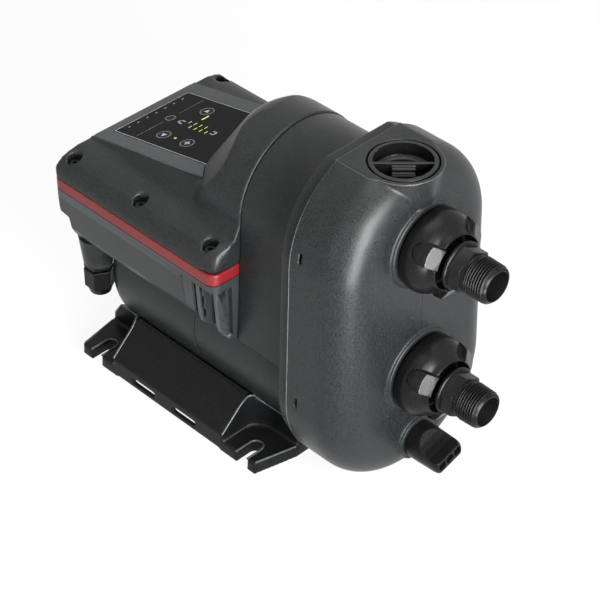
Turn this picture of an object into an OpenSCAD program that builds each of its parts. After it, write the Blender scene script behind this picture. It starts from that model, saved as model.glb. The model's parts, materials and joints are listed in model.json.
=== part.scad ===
// Compact self-priming booster pump with built-in drive electronics.
// X runs from the control box at the rear to the two port connectors at the front.
// Origin: centre of the footprint, on the floor.

/* [Pump head] */
// Distance between the upper and the lower port axes
port_spacing = 124; // [118:1:130]
// Height of the lower (suction) port axis
port_low_z = 113; // [110:1:116]
// Radius of the head outline round the upper chamber
head_top_r = 85; // [82:0.5:88]
// Radius of the head outline round the lower chamber
head_low_r = 89; // [86:0.5:91]
// Height of the centre of the upper outline
head_top_z = 224; // [222:1:227]
// Height of the centre of the lower outline
head_low_z = 92; // [91:1:94]
// Depth of the front cover
cover_d = 60; // [56:1:66]
// Radius of the rounded front edge of the cover
cover_round = 29; // [24:1:32]
// Thickness of the flange behind the cover
flange_t = 11; // [9:0.5:13]
// Step of the flange outline inside the cover outline
flange_step = 3.5; // [2:0.5:5]
// Thickness of the gasket between flange and cover
gasket_t = 0.8; // [0.5:0.1:1.2]
// Wall between the chambers and the outside of the cover face
face_wall = 10; // [8:0.5:12]
// Height of the flat round the priming plug
plateau_z = 302; // [299:1:304]

/* [Port connectors] */
// Bore of the connector nipples (radius)
nipple_bore_r = 12.5; // [11.5:0.25:13]
// Length of each nipple from its ball centre to its end
nipple_out = 61; // [58:1:66]
// Large end radius of the tapered thread
thread_r = 16.9; // [16.5:0.1:17.2]
// Length of the tapered thread
thread_l = 21; // [19:0.5:22]
// Length of the hexagon
hex_l = 12.4; // [11:0.2:13]
// Width across flats of the hexagon
hex_af = 33; // [31:0.5:33.5]
// Radius of the ball joint of a nipple
ball_r = 22; // [21:0.25:22.5]
// Radius of the rim round each port
port_rim_r = 36.6; // [35.5:0.1:38]
// Largest radius of a union nut
nut_r = 35; // [34:0.5:36]
// Length of a union nut
nut_l = 30.2; // [29:0.2:30.4]
// Radius of the threaded spigot on the cover
spigot_r = 27; // [26.5:0.25:28]

/* [Plugs] */
// Distance of the priming plug behind the cover face
prime_back = 23.8; // [22:0.2:26]
// Radius of the priming plug flange
prime_r = 26.6; // [25.5:0.1:27.5]
// Height of the drain plug axis
drain_z = 40; // [38:0.5:42]
// Radius of the drain plug head
drain_r = 16.5; // [15:0.5:18]
// Length of the drain plug head
drain_l = 35; // [32:1:38]
// Turn of the drain grip from the horizontal
drain_tilt = 16; // [0:1:30]

/* [Motor and pump stages] */
// Height of the shaft
shaft_z = 85; // [84:0.5:86]
// Outer radius of the motor casing
motor_r = 74; // [73:0.5:76]
// Wall of the motor casing
motor_wall = 4; // [3:0.25:5]
// Distance of the casing rear from the control box rear
motor_rear_x = 34; // [30:1:38]
// Place of the joint between motor casing and pump body
casing_joint_x = 146; // [144:1:148]
// Radius of the motor shaft
shaft_r = 7.5; // [6.5:0.25:8]
// Bore radius of the stator
stator_bore_r = 36; // [34:0.5:38]
// Length of the stator
stator_l = 58; // [50:1:62]
// Radius of an impeller
impeller_r = 44; // [40:0.5:47]
// Pitch of the pump stages
stage_pitch = 18; // [17.5:0.1:18.2]
// Blades of an impeller
blades = 6; // [5:1:8]

/* [Shroud and pressure tank] */
// Outer radius of the arched shroud
shroud_r = 66; // [64:0.5:67]
// Height of the shroud axis
shroud_z = 219.5; // [218:0.5:221]
// Length of the shroud between control box and flange
shroud_l = 61; // [59:1:64]
// Wall of the shroud
shroud_wall = 4; // [3:0.5:5]

/* [Control box] */
// Length of the control box
box_l = 197; // [194:1:202]
// Width of the control box
box_w = 193; // [189:1:197]
// Height of the underside of the seal band
band_z = 170.5; // [169:0.5:172]
// Height of the seal band
band_h = 11; // [8:0.5:13]
// Corner radius of the box in plan
box_corner = 9; // [6:0.5:12]
// Height of the shelf beside the display
shelf_z = 205; // [203:0.5:208]
// Slope of the display panel
panel_tilt = 11.5; // [9:0.25:13]
// Half-width of the grey bezel
bezel_hw = 57; // [54:0.5:59]
// Half-width of the display window
window_hw = 42; // [39:0.5:45]
// Length of the display window along the panel
window_l = 120; // [114:1:124]
// Radius of a key
key_r = 6.5; // [5.5:0.1:7]
// Travel of a key
key_travel = 0.5; // [0.3:0.05:0.6]
// Spacing of the cover screws along the box
screw_pitch = 82.5; // [80:0.5:84]

/* [Base plate] */
// Length of the base plate
base_l = 235; // [230:1:240]
// Width of the base plate
base_w = 193; // [188:1:196]
// Thickness of the corner lugs
lug_t = 12; // [10:0.5:14]
// Distance between the fixing notches along the base
notch_pitch = 184; // [180:1:188]
// Width of a fixing notch
notch_w = 11.5; // [10:0.5:13]
// Distance of the notch ends from the middle
notch_in = 80; // [78:0.5:84]

/* [Hidden] */
$fn = 96;
eps = 0.01;
fit = 0.15;          // clearance between fixed pieces
run = 0.3;           // clearance of moving pieces
shaft_fit = 0.05;    // clearance of running fits on the shaft

flange_x = box_l + shroud_l;
joint_x = flange_x + flange_t;
cover_x = joint_x + gasket_t;
face_x = cover_x + cover_d;
rim_x = face_x + 3;
ball_x = face_x + 12.4;
nut_x = rim_x + 1.2;
nut_mouth_r = hex_af / sqrt(3) + 3.8;    // passes over the hexagon of a tilted nipple
collar_r = nut_mouth_r - 2.5;
total_l = ball_x + nipple_out;
port_high_z = port_low_z + port_spacing;
prime_x = face_x - prime_back;
chamber_x = face_x - face_wall;
top_chamber_r = head_top_r - 25;
low_chamber_r = head_low_r - 25;
stage_r = 66;
neck_r = 18;
slope = tan(panel_tilt);
base_x = flange_x - 6 - base_l;
base_mid_x = base_x + base_l / 2 - 1.5;
stage_x = flange_x - 52;
swivel_deg = 3.5;
nut_travel = 6;
hump_r = shroud_r + 1;
sensor_z = shaft_z + motor_r + 4.6;
bowl_r = stage_r - 6;
gland_at = [24, -max(box_w / 2 - 23.5, motor_r - 1)];
rotor_x = 80;

charcoal = [0.20, 0.21, 0.22];
black = [0.08, 0.08, 0.09];
steel = [0.72, 0.73, 0.75];

// Puts the parts, drawn from the rear of the box, round the middle of the footprint.
module placed() { translate([-total_l / 2, 0, 0]) children(); }

// Cylinder along X.
module xcyl(x0, x1, r) { translate([x0, 0, 0]) rotate([0, 90, 0]) cylinder(h = x1 - x0, r = r); }

// Solid of revolution about X. Points are [x, radius].
module xrev(points) {
    rotate([0, 90, 0]) rotate_extrude() polygon([for (p = points) [p[1], p[0]]]);
}

// Extrusion along X of a shape drawn in the (Y, Z) plane.
module xslab(x0, x1) { translate([x0, 0, 0]) rotate([90, 0, 90]) linear_extrude(x1 - x0) children(); }

// Extrusion across Y, centred, of a shape drawn in the (X, Z) plane.
module yslab(w) { translate([0, w / 2, 0]) rotate([90, 0, 0]) linear_extrude(w) children(); }

module at_z(z) { translate([0, 0, z]) children(); }
module both_sides() { children(); mirror([0, 1, 0]) children(); }

function lean(r1, r2) = asin((r2 - r1) / (head_top_z - head_low_z));

// Outline of the head in the (Y, Z) plane, a given step inside the cover outline.
module head_outline(step = 0) {
    rt = head_top_r - step;
    rb = head_low_r - step;
    a = lean(rt, rb);
    translate([0, head_top_z]) circle(rt);
    translate([0, head_low_z]) circle(rb);
    polygon([[rb * cos(a), head_low_z + rb * sin(a)], [rt * cos(a), head_top_z + rt * sin(a)],
        [-rt * cos(a), head_top_z + rt * sin(a)], [-rb * cos(a), head_low_z + rb * sin(a)]]);
}

// Rim section of the cover: a flat band with a rounded front corner, up to radius r.
module cover_section(r, w) {
    translate([r - w, 0]) square([w - cover_round, cover_d]);
    translate([r - cover_round - eps, 0]) square([cover_round + eps, cover_d - cover_round]);
    intersection() {
        translate([r - cover_round, cover_d - cover_round]) circle(cover_round);
        translate([r - cover_round - eps, cover_d - cover_round - eps]) square(cover_round + 1);
    }
}

module cover_sector(z, r, a0, a1) {
    translate([cover_x, 0, z]) rotate([90, 0, 90]) rotate([0, 0, a0])
        rotate_extrude(angle = a1 - a0) cover_section(r, r);
}

// Rounded body of the cover: two revolved ends joined by straight flanks that flare downwards.
module cover_form() {
    a = lean(head_top_r, head_low_r);
    flank = (head_top_z - head_low_z) * cos(a);
    cover_sector(head_top_z, head_top_r, a, 180 - a);
    cover_sector(head_low_z, head_low_r, 180 - a, 360 + a);
    both_sides() translate([cover_x, 0, head_low_z]) rotate([a, 0, 0])
        rotate([90, 0, 90]) rotate([-90, 0, 0]) linear_extrude(flank)
            mirror([0, 1]) cover_section(head_low_r, head_top_r);
    translate([cover_x, -24, head_low_z]) cube([cover_d, 48, head_top_z - head_low_z]);
}

// Points of the same outline, for the thin gasket.
function arc_points(r, z, a0, a1) =
    [for (i = [0:40]) let (t = a0 + (a1 - a0) * i / 40) [r * cos(t), z + r * sin(t)]];
function outline_points(step) =
    let (a = lean(head_top_r - step, head_low_r - step))
    concat(arc_points(head_top_r - step, head_top_z, a, 180 - a),
        arc_points(head_low_r - step, head_low_z, 180 - a, 360 + a));

module port_axes() { for (z = [port_low_z, port_high_z]) at_z(z) children(); }

// Places of the head screws in the (Y, Z) plane: round the top, on the flanks and beside the stages.
screw_in = 10.5;
head_sink = 4.5;
head_screw_points = concat(
    [for (a = [20, 62, 118, 160])
        [(head_top_r - screw_in) * cos(a), head_top_z + (head_top_r - screw_in) * sin(a)]],
    [for (s = [-1, 1]) [s * ((head_top_r + head_low_r) / 2 - screw_in + 1), (head_top_z + head_low_z) / 2]],
    [for (s = [-1, 1]) [s * (motor_r + 5) * cos(10), shaft_z - (motor_r + 5) * sin(10)]]);

module head_screw_places() { for (p = head_screw_points) translate([0, p[0], p[1]]) children(); }

module front_cover() color(charcoal) {
    difference() {
        union() {
            difference() {
                cover_form();
                at_z(plateau_z) translate([cover_x - 1, -100, 0]) cube([cover_d + 2, 200, 50]);
            }
            translate([prime_x, 0, plateau_z - 40])
                cylinder(h = 40, r1 = prime_back + 0.2, r2 = prime_r + 4.6);
            port_axes() {
                xcyl(face_x - 1, rim_x - 0.8, port_rim_r);
                xcyl(rim_x - 1, rim_x, port_rim_r - 0.7);
                xcyl(face_x - 1, ball_x + 0.6, spigot_r);
            }
            at_z(drain_z) xcyl(face_x - 1, rim_x, 20);
        }
        at_z(head_top_z) xcyl(cover_x - 1, chamber_x, top_chamber_r);
        at_z(head_low_z) xcyl(cover_x - 1, chamber_x, low_chamber_r);
        translate([cover_x + 18, -20, head_low_z]) cube([24, 40, head_top_z - head_low_z]);
        port_axes() {
            xcyl(chamber_x - 1, ball_x, neck_r + fit);
            translate([ball_x, 0, 0]) sphere(ball_r + 1.2);
        }
        at_z(drain_z) xcyl(chamber_x - 1, rim_x + 1, 11 + run);
        translate([prime_x, 0, plateau_z - 30]) cylinder(h = 40, r = prime_r - 1);
        translate([prime_x, 0, plateau_z - 4]) cylinder(h = 5, r = prime_r + 1.4);
        head_screw_places() xcyl(cover_x - 1, cover_x + 13, 2.2);
        at_z(sensor_z) xcyl(cover_x - 1, cover_x + 19, 2.5);
        for (z = [100, 240]) both_sides()
            translate([joint_x + 10, head_low_r - 11, z - 5]) cube([3, 20, 10]);
    }
    port_axes() difference() {
        xcyl(chamber_x - 16, chamber_x + 1, neck_r + 4);
        xcyl(chamber_x - 17, chamber_x + 2, neck_r + fit);
    }
}

module pump_body() color(charcoal) {
    difference() {
        union() {
            xslab(flange_x, joint_x) intersection() {
                head_outline(flange_step);
                translate([-100, 0]) square([200, plateau_z - flange_step]);
            }
            at_z(shaft_z) xcyl(casing_joint_x + fit, flange_x + 1, motor_r);
        }
        at_z(shaft_z) {
            xcyl(stage_x - 8, joint_x + 1, stage_r);
            xcyl(casing_joint_x - 1, stage_x - 20, motor_r - motor_wall);
            xcyl(stage_x - 21, stage_x, 12);
        }
        at_z(shroud_z) xcyl(flange_x - 1, joint_x + 1, 14);
        head_screw_places() {
            xcyl(flange_x - 1, joint_x + 1, 2.8);
            xcyl(flange_x - 1, flange_x + head_sink, 4.7);
        }
        at_z(sensor_z) xcyl(flange_x - 1, joint_x + 1, 3.2);
        base_screw_places() cylinder(h = 25, r = 2.2);
    }
    at_z(shaft_z) difference() {
        xcyl(stage_x - 36, stage_x - 19.9, 25);
        xcyl(stage_x - 37, stage_x - 23, 17.5 + shaft_fit);
        xcyl(stage_x - 24, stage_x - 19, 12);
    }
}

module head_gasket() color(black)
    xslab(joint_x, cover_x) difference() {
        intersection() {
            polygon(outline_points(flange_step + 1));
            translate([-100, 0]) square([200, plateau_z - flange_step - 1]);
        }
        translate([0, head_top_z]) circle(top_chamber_r - 4);
        translate([0, (head_low_z + shaft_z) / 2]) circle(stage_r + 1);
        for (p = head_screw_points) translate(p) circle(2.8);
        translate([0, sensor_z]) circle(3.4);
    }

module head_screws() color(steel)
    head_screw_places() {
        difference() {
            xcyl(flange_x + head_sink - 4.2, flange_x + head_sink - 0.1, 4.3);
            translate([flange_x + head_sink - 4.3, 0, 0]) rotate([0, 90, 0])
                cylinder(h = 2.3, r = 2.2, $fn = 6);
        }
        xcyl(flange_x + head_sink - 1, cover_x + 11, 2);
    }

// Pot shape of the motor, closed and rounded at the rear.
module casing_form(grow = 0) {
    end_r = 16;
    x = motor_rear_x - grow;
    r = motor_r + grow;
    at_z(shaft_z) rotate([0, 90, 0]) rotate_extrude() {
        translate([0, x]) square([r - end_r, casing_joint_x - x]);
        translate([r - end_r - eps, x + end_r]) square([end_r + eps, casing_joint_x - x - end_r]);
        intersection() {
            translate([r - end_r, x + end_r]) circle(end_r);
            translate([r - end_r - eps, x]) square(end_r + eps);
        }
    }
}

module motor_casing() color(charcoal)
    difference() {
        casing_form();
        at_z(shaft_z) {
            xcyl(motor_rear_x + 16, casing_joint_x + 1, motor_r - motor_wall);
            xcyl(motor_rear_x + motor_wall, motor_rear_x + 17, motor_r - 16);
        }
        base_screw_places() cylinder(h = 25, r = 2.2);
    }

module base_screw_places() {
    for (x = [casing_joint_x - 76, casing_joint_x + 14], y = [-14, 14]) translate([x, y, 0]) children();
}

module bearing_bracket() color("silver")
    at_z(shaft_z) difference() {
        union() {
            xcyl(60, 64, motor_r - motor_wall - fit);
            xcyl(44, 61, 24);
        }
        xcyl(46, 58.2, 17.5 + shaft_fit);
        xcyl(43, 65, 12);
        for (a = [0:60:300]) rotate([a, 0, 0]) translate([0, 0, 46]) xcyl(59, 65, 14);
    }

module bearing(x) color(steel)
    at_z(shaft_z) {
        difference() {
            xcyl(x, x + 11, 17.5);
            xcyl(x - 1, x + 12, 14.4);
        }
        difference() {
            xcyl(x, x + 11, 10.6);
            xcyl(x - 1, x + 12, shaft_r + shaft_fit);
        }
        for (a = [0:40:320]) rotate([a, 0, 0]) translate([x + 5.5, 0, 12.5]) sphere(1.98);
    }

module rear_bearing() bearing(46.5);
module front_bearing() bearing(stage_x - 35);

module stator_core() color("dimgray")
    at_z(shaft_z) difference() {
        xcyl(rotor_x, rotor_x + stator_l, motor_r - motor_wall - fit);
        xcyl(rotor_x - 1, rotor_x + stator_l + 1, stator_bore_r);
        for (a = [0:15:345]) rotate([a, 0, 0])
            translate([rotor_x - 1, -1.5, stator_bore_r + 3]) cube([stator_l + 2, 3, 14]);
    }

module stator_windings() color("chocolate")
    at_z(shaft_z) for (x = [rotor_x - 12.3, rotor_x + stator_l + 0.3]) difference() {
        xcyl(x, x + 12, 58);
        xcyl(x - 1, x + 13, 40);
    }

module motor_shaft() color(steel)
    at_z(shaft_z) {
        xcyl(46.5, stage_x - 6, shaft_r);
        xcyl(stage_x - 6.1, joint_x - 4, shaft_r - 1);
    }

module rotor_core() color("gray")
    at_z(shaft_z) difference() {
        xcyl(rotor_x, rotor_x + stator_l, stator_bore_r - 0.6);
        xcyl(rotor_x - 1, rotor_x + stator_l + 1, shaft_r + shaft_fit);
        for (a = [0:60:300]) rotate([a, 0, 0])
            translate([rotor_x - 1, -9, 22]) cube([stator_l + 2, 18, 4]);
    }

// Closed impeller: two discs with backward-curved blades between them and an eye at the front.
module impeller(n) color("lightgray") {
    x = stage_x + n * stage_pitch + 4;
    at_z(shaft_z) {
        difference() {
            xcyl(x, x + 2, impeller_r);
            xcyl(x - 1, x + 3, shaft_r - 1 + shaft_fit);
        }
        difference() {
            xcyl(x, x + 11.5, 11);
            xcyl(x - 1, x + 12, shaft_r - 1 + shaft_fit);
        }
        difference() {
            xrev([[x + 9, 17], [x + 8, impeller_r], [x + 6.4, impeller_r], [x + 7.4, 17]]);
            xcyl(x, x + 12, 16);
        }
        difference() {
            xcyl(x + 7.4, x + 12, 19);
            xcyl(x + 7, x + 13, 17);
        }
        xslab(x + 1.9, x + 7) intersection() {
            for (i = [0:blades - 1])
                rotate(i * 360 / blades) translate([impeller_r * 0.55, 0]) difference() {
                circle(impeller_r * 0.5);
                translate([0.4, 1.6]) circle(impeller_r * 0.5);
                translate([-impeller_r, 0]) square([2 * impeller_r, impeller_r]);
            }
            difference() { circle(impeller_r); circle(17.5); }
        }
    }
}

module impeller_1() impeller(0);
module impeller_2() impeller(1);
module impeller_3() impeller(2);

// Stage bowl: a cup with an eye in its rear wall, guide vanes, and four lugs that centre it in the
// bore and leave the way back for the water round its outside.
module stage_bowl(n) color("white") {
    x = stage_x + n * stage_pitch + fit;
    at_z(shaft_z) {
        difference() {
            union() {
                xcyl(x, x + stage_pitch - fit, bowl_r);
                xslab(x, x + 6) intersection() {
                    circle(stage_r - fit);
                    for (a = [0:90:270]) rotate(a + 45) translate([bowl_r - 1, -5]) square([9, 10]);
                }
            }
            xcyl(x + 2.5, x + stage_pitch, bowl_r - 3);
            xcyl(x - 1, x + 3, n == 0 ? 12 : 15);
            if (n == 0) for (a = [0:45:315])
                rotate([a, 0, 0]) translate([0, 0, bowl_r - 9]) xcyl(x - 1, x + 3, 4);
        }
        for (a = [0:45:315]) rotate([a + 22, 0, 0])
            translate([x + 2.4, 0, impeller_r + 2]) rotate([35, 0, 0]) cube([stage_pitch - 7, 1.8, 11]);
    }
}

// Front plate of the stages, with the neck that takes the suction duct.
module stage_end_plate() color("white") {
    x = stage_x + 3 * stage_pitch + fit;
    at_z(shaft_z) difference() {
        union() {
            xcyl(x, x + 2.5, bowl_r);
            xcyl(x, joint_x + 1.3, 21);
        }
        xcyl(x - 1, joint_x + 2, 17.3);
    }
}

module impeller_nut() color(steel)
    at_z(shaft_z) difference() {
        translate([stage_x + 3 * stage_pitch - 1.8, 0, 0]) rotate([0, 90, 0])
            cylinder(h = 5.5, r = 9.8, $fn = 6);
        xcyl(stage_x + 3 * stage_pitch - 3, joint_x, shaft_r - 1 + shaft_fit);
    }

module stage_bowl_1() stage_bowl(0);
module stage_bowl_2() stage_bowl(1);
module stage_bowl_3() stage_bowl(2);

module seal_seat() color("ivory")
    at_z(shaft_z) difference() {
        xcyl(stage_x - 14, stage_x - 8.1, 12 - shaft_fit);
        xcyl(stage_x - 15, stage_x - 8, shaft_r + 1);
    }

module shaft_seal() color("darkslategray")
    at_z(shaft_z) difference() {
        xcyl(stage_x - 8, stage_x - 1, 11.5);
        xcyl(stage_x - 9, stage_x, shaft_r + shaft_fit);
    }

// Duct from the suction valve down to the eye of the first stage.
module suction_duct() color("white") {
    x0 = joint_x + 1.5;
    x1 = chamber_x - 16.5;
    difference() {
        xslab(x0, x1) duct_2d(22);
        xslab(x0 + 2, x1 - 2) duct_2d(20);
        at_z(port_low_z) xcyl(x1 - 3, x1 + 1, 16);
        at_z(shaft_z) xcyl(x0 - 1, x0 + 3, 17);
    }
}

module duct_2d(r) {
    translate([0, port_low_z]) circle(r);
    translate([0, shaft_z]) circle(r);
    translate([-r, shaft_z]) square([2 * r, port_low_z - shaft_z]);
}

// Check valve cage, drawn with the flow along +X. Seat at the start, guide at the end.
module valve_cage() color("white")
    difference() {
        union() {
            difference() {
                xcyl(0, 24, neck_r);
                xcyl(4, 25, neck_r - 2);
                xcyl(-1, 5, 11);
                for (a = [45:90:315]) rotate([a, 0, 0]) translate([6, -7, 10]) cube([13, 14, 10]);
            }
            xcyl(19, 23, 5);
            for (a = [0, 90])
                rotate([a, 0, 0]) translate([20, -1.5, -neck_r + 1]) cube([3, 3, 2 * neck_r - 2]);
        }
        xcyl(18, 24, 2.2 + run);
    }

module valve_poppet() color("black") {
    xcyl(4.1, 7, 13);
    xcyl(6.9, 22, 2.2);
    xrev([[0.5, 0], [0.5, 6], [4.2, 10.4], [4.2, 0]]);
}

module delivery_place() translate([chamber_x - 16, 0, port_high_z]) children();
module suction_place() translate([chamber_x + 8, 0, port_low_z]) rotate([0, 0, 180]) children();

module delivery_valve_cage() delivery_place() valve_cage();
module delivery_valve() delivery_place() valve_poppet();
module suction_valve_cage() suction_place() valve_cage();
module suction_valve() suction_place() valve_poppet();

// Small diaphragm tank behind the upper chamber, screwed into the flange.
tank_r = 56;
tank_x0 = flange_x - 56;
module tank_profile(inset) {
    x0 = tank_x0 + inset;
    x1 = flange_x - 2 - inset;
    r = tank_r - inset;
    xrev([[x0, 0], [x0, 26], [x0 + 3, 40], [x0 + 9, 51], [x0 + 17, r], [x1 - 14, r], [x1 - 6, 50],
        [x1, 38], [x1, 0]]);
}

module pressure_tank() color("firebrick")
    at_z(shroud_z) difference() {
        union() {
            tank_profile(0);
            xcyl(flange_x - 3, joint_x - 1, 14 - fit);
        }
        tank_profile(1.6);
        xcyl(flange_x - 6, joint_x + 1, 9);
    }

// Half outline of the bladder: a rim clamped in the tank wall and a dome towards the flange.
function bladder_profile(r, inset) =
    let (x = flange_x - 32 - inset / 2)
    [[x, 0], [x, r], [x + 3, r], [x + 3, r - 2.2], [x + 12 - inset / 2, r - 8],
        [x + 15 - inset / 2, r - 24], [x + 16 - inset / 2, 0]];

module tank_bladder() color("black")
    at_z(shroud_z) difference() {
        xrev(bladder_profile(tank_r - 1.8, 0));
        xrev(bladder_profile(tank_r - 4, 2));
    }

// Pressure sensor, screwed through the flange into the passage between the chambers.
module pressure_sensor() color("goldenrod")
    at_z(sensor_z) {
        translate([flange_x - 5, 0, 0]) rotate([0, 90, 0]) cylinder(h = 4.9, r = 4.4, $fn = 6);
        xcyl(flange_x - 1, cover_x, 3);
    }

// Arched shroud over the tank, standing on the pump body.
module motor_shroud() color(charcoal) {
    inner = shroud_r - shroud_wall;
    foot = motor_r - 1.5;
    difference() {
        union() {
            xslab(box_l + 0.3, flange_x - fit) difference() {
                translate([0, shroud_z]) circle(shroud_r);
                translate([0, shroud_z]) circle(inner);
                translate([-100, 0]) square([200, shroud_z]);
            }
            both_sides() xslab(box_l + 0.3, flange_x - fit)
                polygon([[shroud_r, shroud_z], [foot, 106], [foot - shroud_wall, 106], [inner, shroud_z]]);
        }
        at_z(shaft_z) xcyl(box_l - 1, flange_x + 1, motor_r + fit);
    }
}

module box_plan(inset = 0)
    translate([box_corner, 0]) intersection() {
        union() {
            translate([0, -box_w / 2 + box_corner])
                square([box_l - 2 * box_corner, box_w - 2 * box_corner]);
            translate([-box_corner + inset, -box_w / 2 + box_corner])
                square([box_l - 2 * inset, box_w - 2 * box_corner]);
            translate([0, -box_w / 2 + inset]) square([box_l - 2 * box_corner, box_w - 2 * inset]);
            for (x = [0, box_l - 2 * box_corner], s = [-1, 1])
                translate([x, s * (box_w / 2 - box_corner)]) circle(box_corner - inset);
        }
        translate([-box_corner, -box_w / 2]) square([box_l, box_w]);
    }

module box_screw_places()
    for (i = [0:2], s = [-1, 1]) translate([16.5 + i * screw_pitch, s * (box_w / 2 - 12.5), 0]) children();

// Bore for the gland and the passage of the cable into the box.
module gland_bore() translate([gland_at[0], gland_at[1], 0]) {
    at_z(91) cylinder(h = 22, r = 8 + fit);
    at_z(110) cylinder(h = 60, r = 4.5);
}

// Lower half of the control box: a saddle over the motor with a tapered skirt.
module control_box_base() color(charcoal) {
    hw = box_w / 2;
    skirt = max(hw - 17, motor_r + 3);
    difference() {
        intersection() {
            xslab(0, box_l) polygon([[-hw, band_z], [-hw + 3, 158], [-hw + 6, 130], [-hw + 9, 123],
                [-skirt, 113], [-motor_r + 2.5, 104], [motor_r - 2.5, 104], [skirt, 113],
                [hw - 9, 123], [hw - 6, 130], [hw - 3, 158], [hw, band_z]]);
            yslab(box_w + 2) polygon([[0, band_z + 1], [0, 156], [2, 143], [12, 141], [13.5, 126],
                [18, 121], [18.5, 103], [box_l, 103], [box_l, band_z + 1]]);
            linear_extrude(200) box_plan();
        }
        at_z(shaft_z) xcyl(-1, box_l + 1, motor_r + fit);
        translate([8, -hw + 19, 164]) cube([box_l - 16, box_w - 38, 10]);
        both_sides() translate([box_l - 41, -hw - 1, 90]) cube([42, 21, band_z - 98]);
        box_screw_places() at_z(138) cylinder(h = 40, r = 2.2);
        gland_bore();
    }
    both_sides() {
        for (x = [box_l - 38, box_l - 27, box_l - 6]) difference() {
            intersection() {
                translate([x, -hw, 112]) cube([4, 24, band_z - 115]);
                xslab(0, box_l) polygon([[-hw + 4, band_z], [-hw + 10, 150], [-hw + 17, 118],
                    [-hw + 20, 112], [-hw + 26.5, 112], [-hw + 26.5, band_z]]);
            }
            at_z(shaft_z) xcyl(-1, box_l + 1, motor_r + fit);
        }
        translate([16.5 + 2 * screw_pitch, -hw + 12.5, 0]) difference() {
            union() {
            at_z(152) cylinder(h = band_z - 152 - 6, r = 8.4);
            at_z(138) cylinder(h = 15, r = 6.8);
            at_z(124) cylinder(h = 15, r = 5.2);
            }
            at_z(138) cylinder(h = 40, r = 2.2);
        }
    }
    for (x = [30, box_l - 37], s = [-1, 1]) translate([x, s * (hw - 36.5), 163])
        cylinder(h = band_z + 1.4 - 163, r = 3.5);
    difference() {
        translate([gland_at[0], gland_at[1], 92]) cylinder(h = 28, r1 = 13, r2 = 16);
        gland_bore();
        casing_form(run);
    }
}

module seal_band() color("red")
    at_z(band_z + 0.1) linear_extrude(band_h - 0.2) difference() {
        box_plan();
        box_plan(6.5);
    }

function panel_z(x) = shelf_z + 1 + (x - 7) * slope;

// Arched hump that leads from the sloping panel up to the shroud.
module hump(grow = 0) {
    round_r = 26;
    top = shroud_z + hump_r;
    mid_x = 205;
    low = band_z + band_h;
    intersection() {
        at_z(shroud_z) xcyl(100, box_l, hump_r + grow);
        translate([mid_x, 0, 0]) rotate_extrude() polygon(concat(
            [[0, low], [98 + grow, low], [88 + grow, shelf_z + 20]],
            [for (a = [40:10:90])
                [33 + grow + round_r * cos(a), top - round_r + grow + round_r * sin(a)]],
            [[0, top + grow]]));
        translate([0, -100, low]) cube([box_l, 200, 200]);
    }
}

module panel_frame(x, y = 0) translate([x, y, panel_z(x)]) rotate([0, -panel_tilt, 0]) children();

// Sloping wedge that carries the display, with flanks that run down to the shelf.
module panel_wedge() {
    front_z = panel_z(box_l);
    rise = front_z - shelf_z;
    polyhedron(
        points = [[7, -bezel_hw - 5, shelf_z - 8], [7, bezel_hw + 5, shelf_z - 8],
            [box_l, bezel_hw + 20, shelf_z - 8], [box_l, -bezel_hw - 20, shelf_z - 8],
            [7, -bezel_hw - 1, panel_z(7)], [7, bezel_hw + 1, panel_z(7)],
            [box_l, bezel_hw - 3, front_z], [box_l, -bezel_hw + 3, front_z]],
        faces = [[0, 3, 2, 1], [4, 5, 6, 7], [0, 1, 5, 4], [2, 3, 7, 6], [1, 2, 6], [1, 6, 5], [3, 0, 4],
            [3, 4, 7]]);
}

module control_box_cover() color(charcoal) {
    hw = box_w / 2;
    z0 = band_z + band_h;
    difference() {
        union() {
            difference() {
                union() {
                    intersection() {
                        xslab(0, box_l) polygon([[-hw, z0], [-hw + 1, z0 + 7], [-hw + 3.5, z0 + 13],
                            [-hw + 8, z0 + 18.5], [-hw + 14, shelf_z - 2.5], [-hw + 23, shelf_z],
                            [hw - 23, shelf_z], [hw - 14, shelf_z - 2.5], [hw - 8, z0 + 18.5],
                            [hw - 3.5, z0 + 13], [hw - 1, z0 + 7], [hw, z0]]);
                        yslab(box_w + 2) polygon([[0, z0], [2, z0 + 6], [5, z0 + 16], [8, shelf_z + 1],
                            [box_l, shelf_z + 1], [box_l, z0]]);
                        linear_extrude(300) box_plan();
                    }
                    panel_wedge();
                }
                panel_frame(8) translate([0, -bezel_hw, -2.5]) cube([150, 2 * bezel_hw, 12]);
            }
            hump();
            at_z(band_z + 0.1) linear_extrude(band_h) difference() {
                box_plan(6.8);
                translate([19, -hw + 19]) square([box_l - 38, box_w - 38]);
            }
        }
        yslab(2 * bezel_hw - 16) polygon([[19, z0 - 1], [19, shelf_z - 4], [box_l - 8, panel_z(box_l) - 9],
            [box_l - 8, z0 - 1]]);
        translate([19, -hw + 19, z0 - 1]) cube([box_l - 38, box_w - 38, 12]);
        at_z(shroud_z) xcyl(box_l - 22, box_l + 1, hump_r - 9);
        box_screw_places() {
            at_z(z0 + 11) cylinder(h = 30, r = 6.2);
            at_z(z0 - 20) cylinder(h = 40, r = 2.3);
        }
    }
}

module cover_screws() color(steel)
    box_screw_places() {
        difference() {
            at_z(band_z + band_h + 11.1) cylinder(h = 3.4, r = 4.6);
            at_z(band_z + band_h + 12.5) cylinder(h = 3, r = 2.3, $fn = 6);
        }
        at_z(142) cylinder(h = band_z + band_h + 11.2 - 142, r = 2);
    }

module control_board() color("darkgreen")
    at_z(band_z + 1.5) {
        translate([22, -box_w / 2 + 26.5, 0]) cube([box_l - 50, box_w - 53, 1.6]);
        for (x = [45, 70], y = [-40, 40]) translate([x, y, 1.5]) cylinder(h = 16, r = 9);
        translate([100, -30, 1.5]) cube([30, 60, 14]);
        translate([35, -12, 1.5]) cube([40, 20, 12]);
    }

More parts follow.
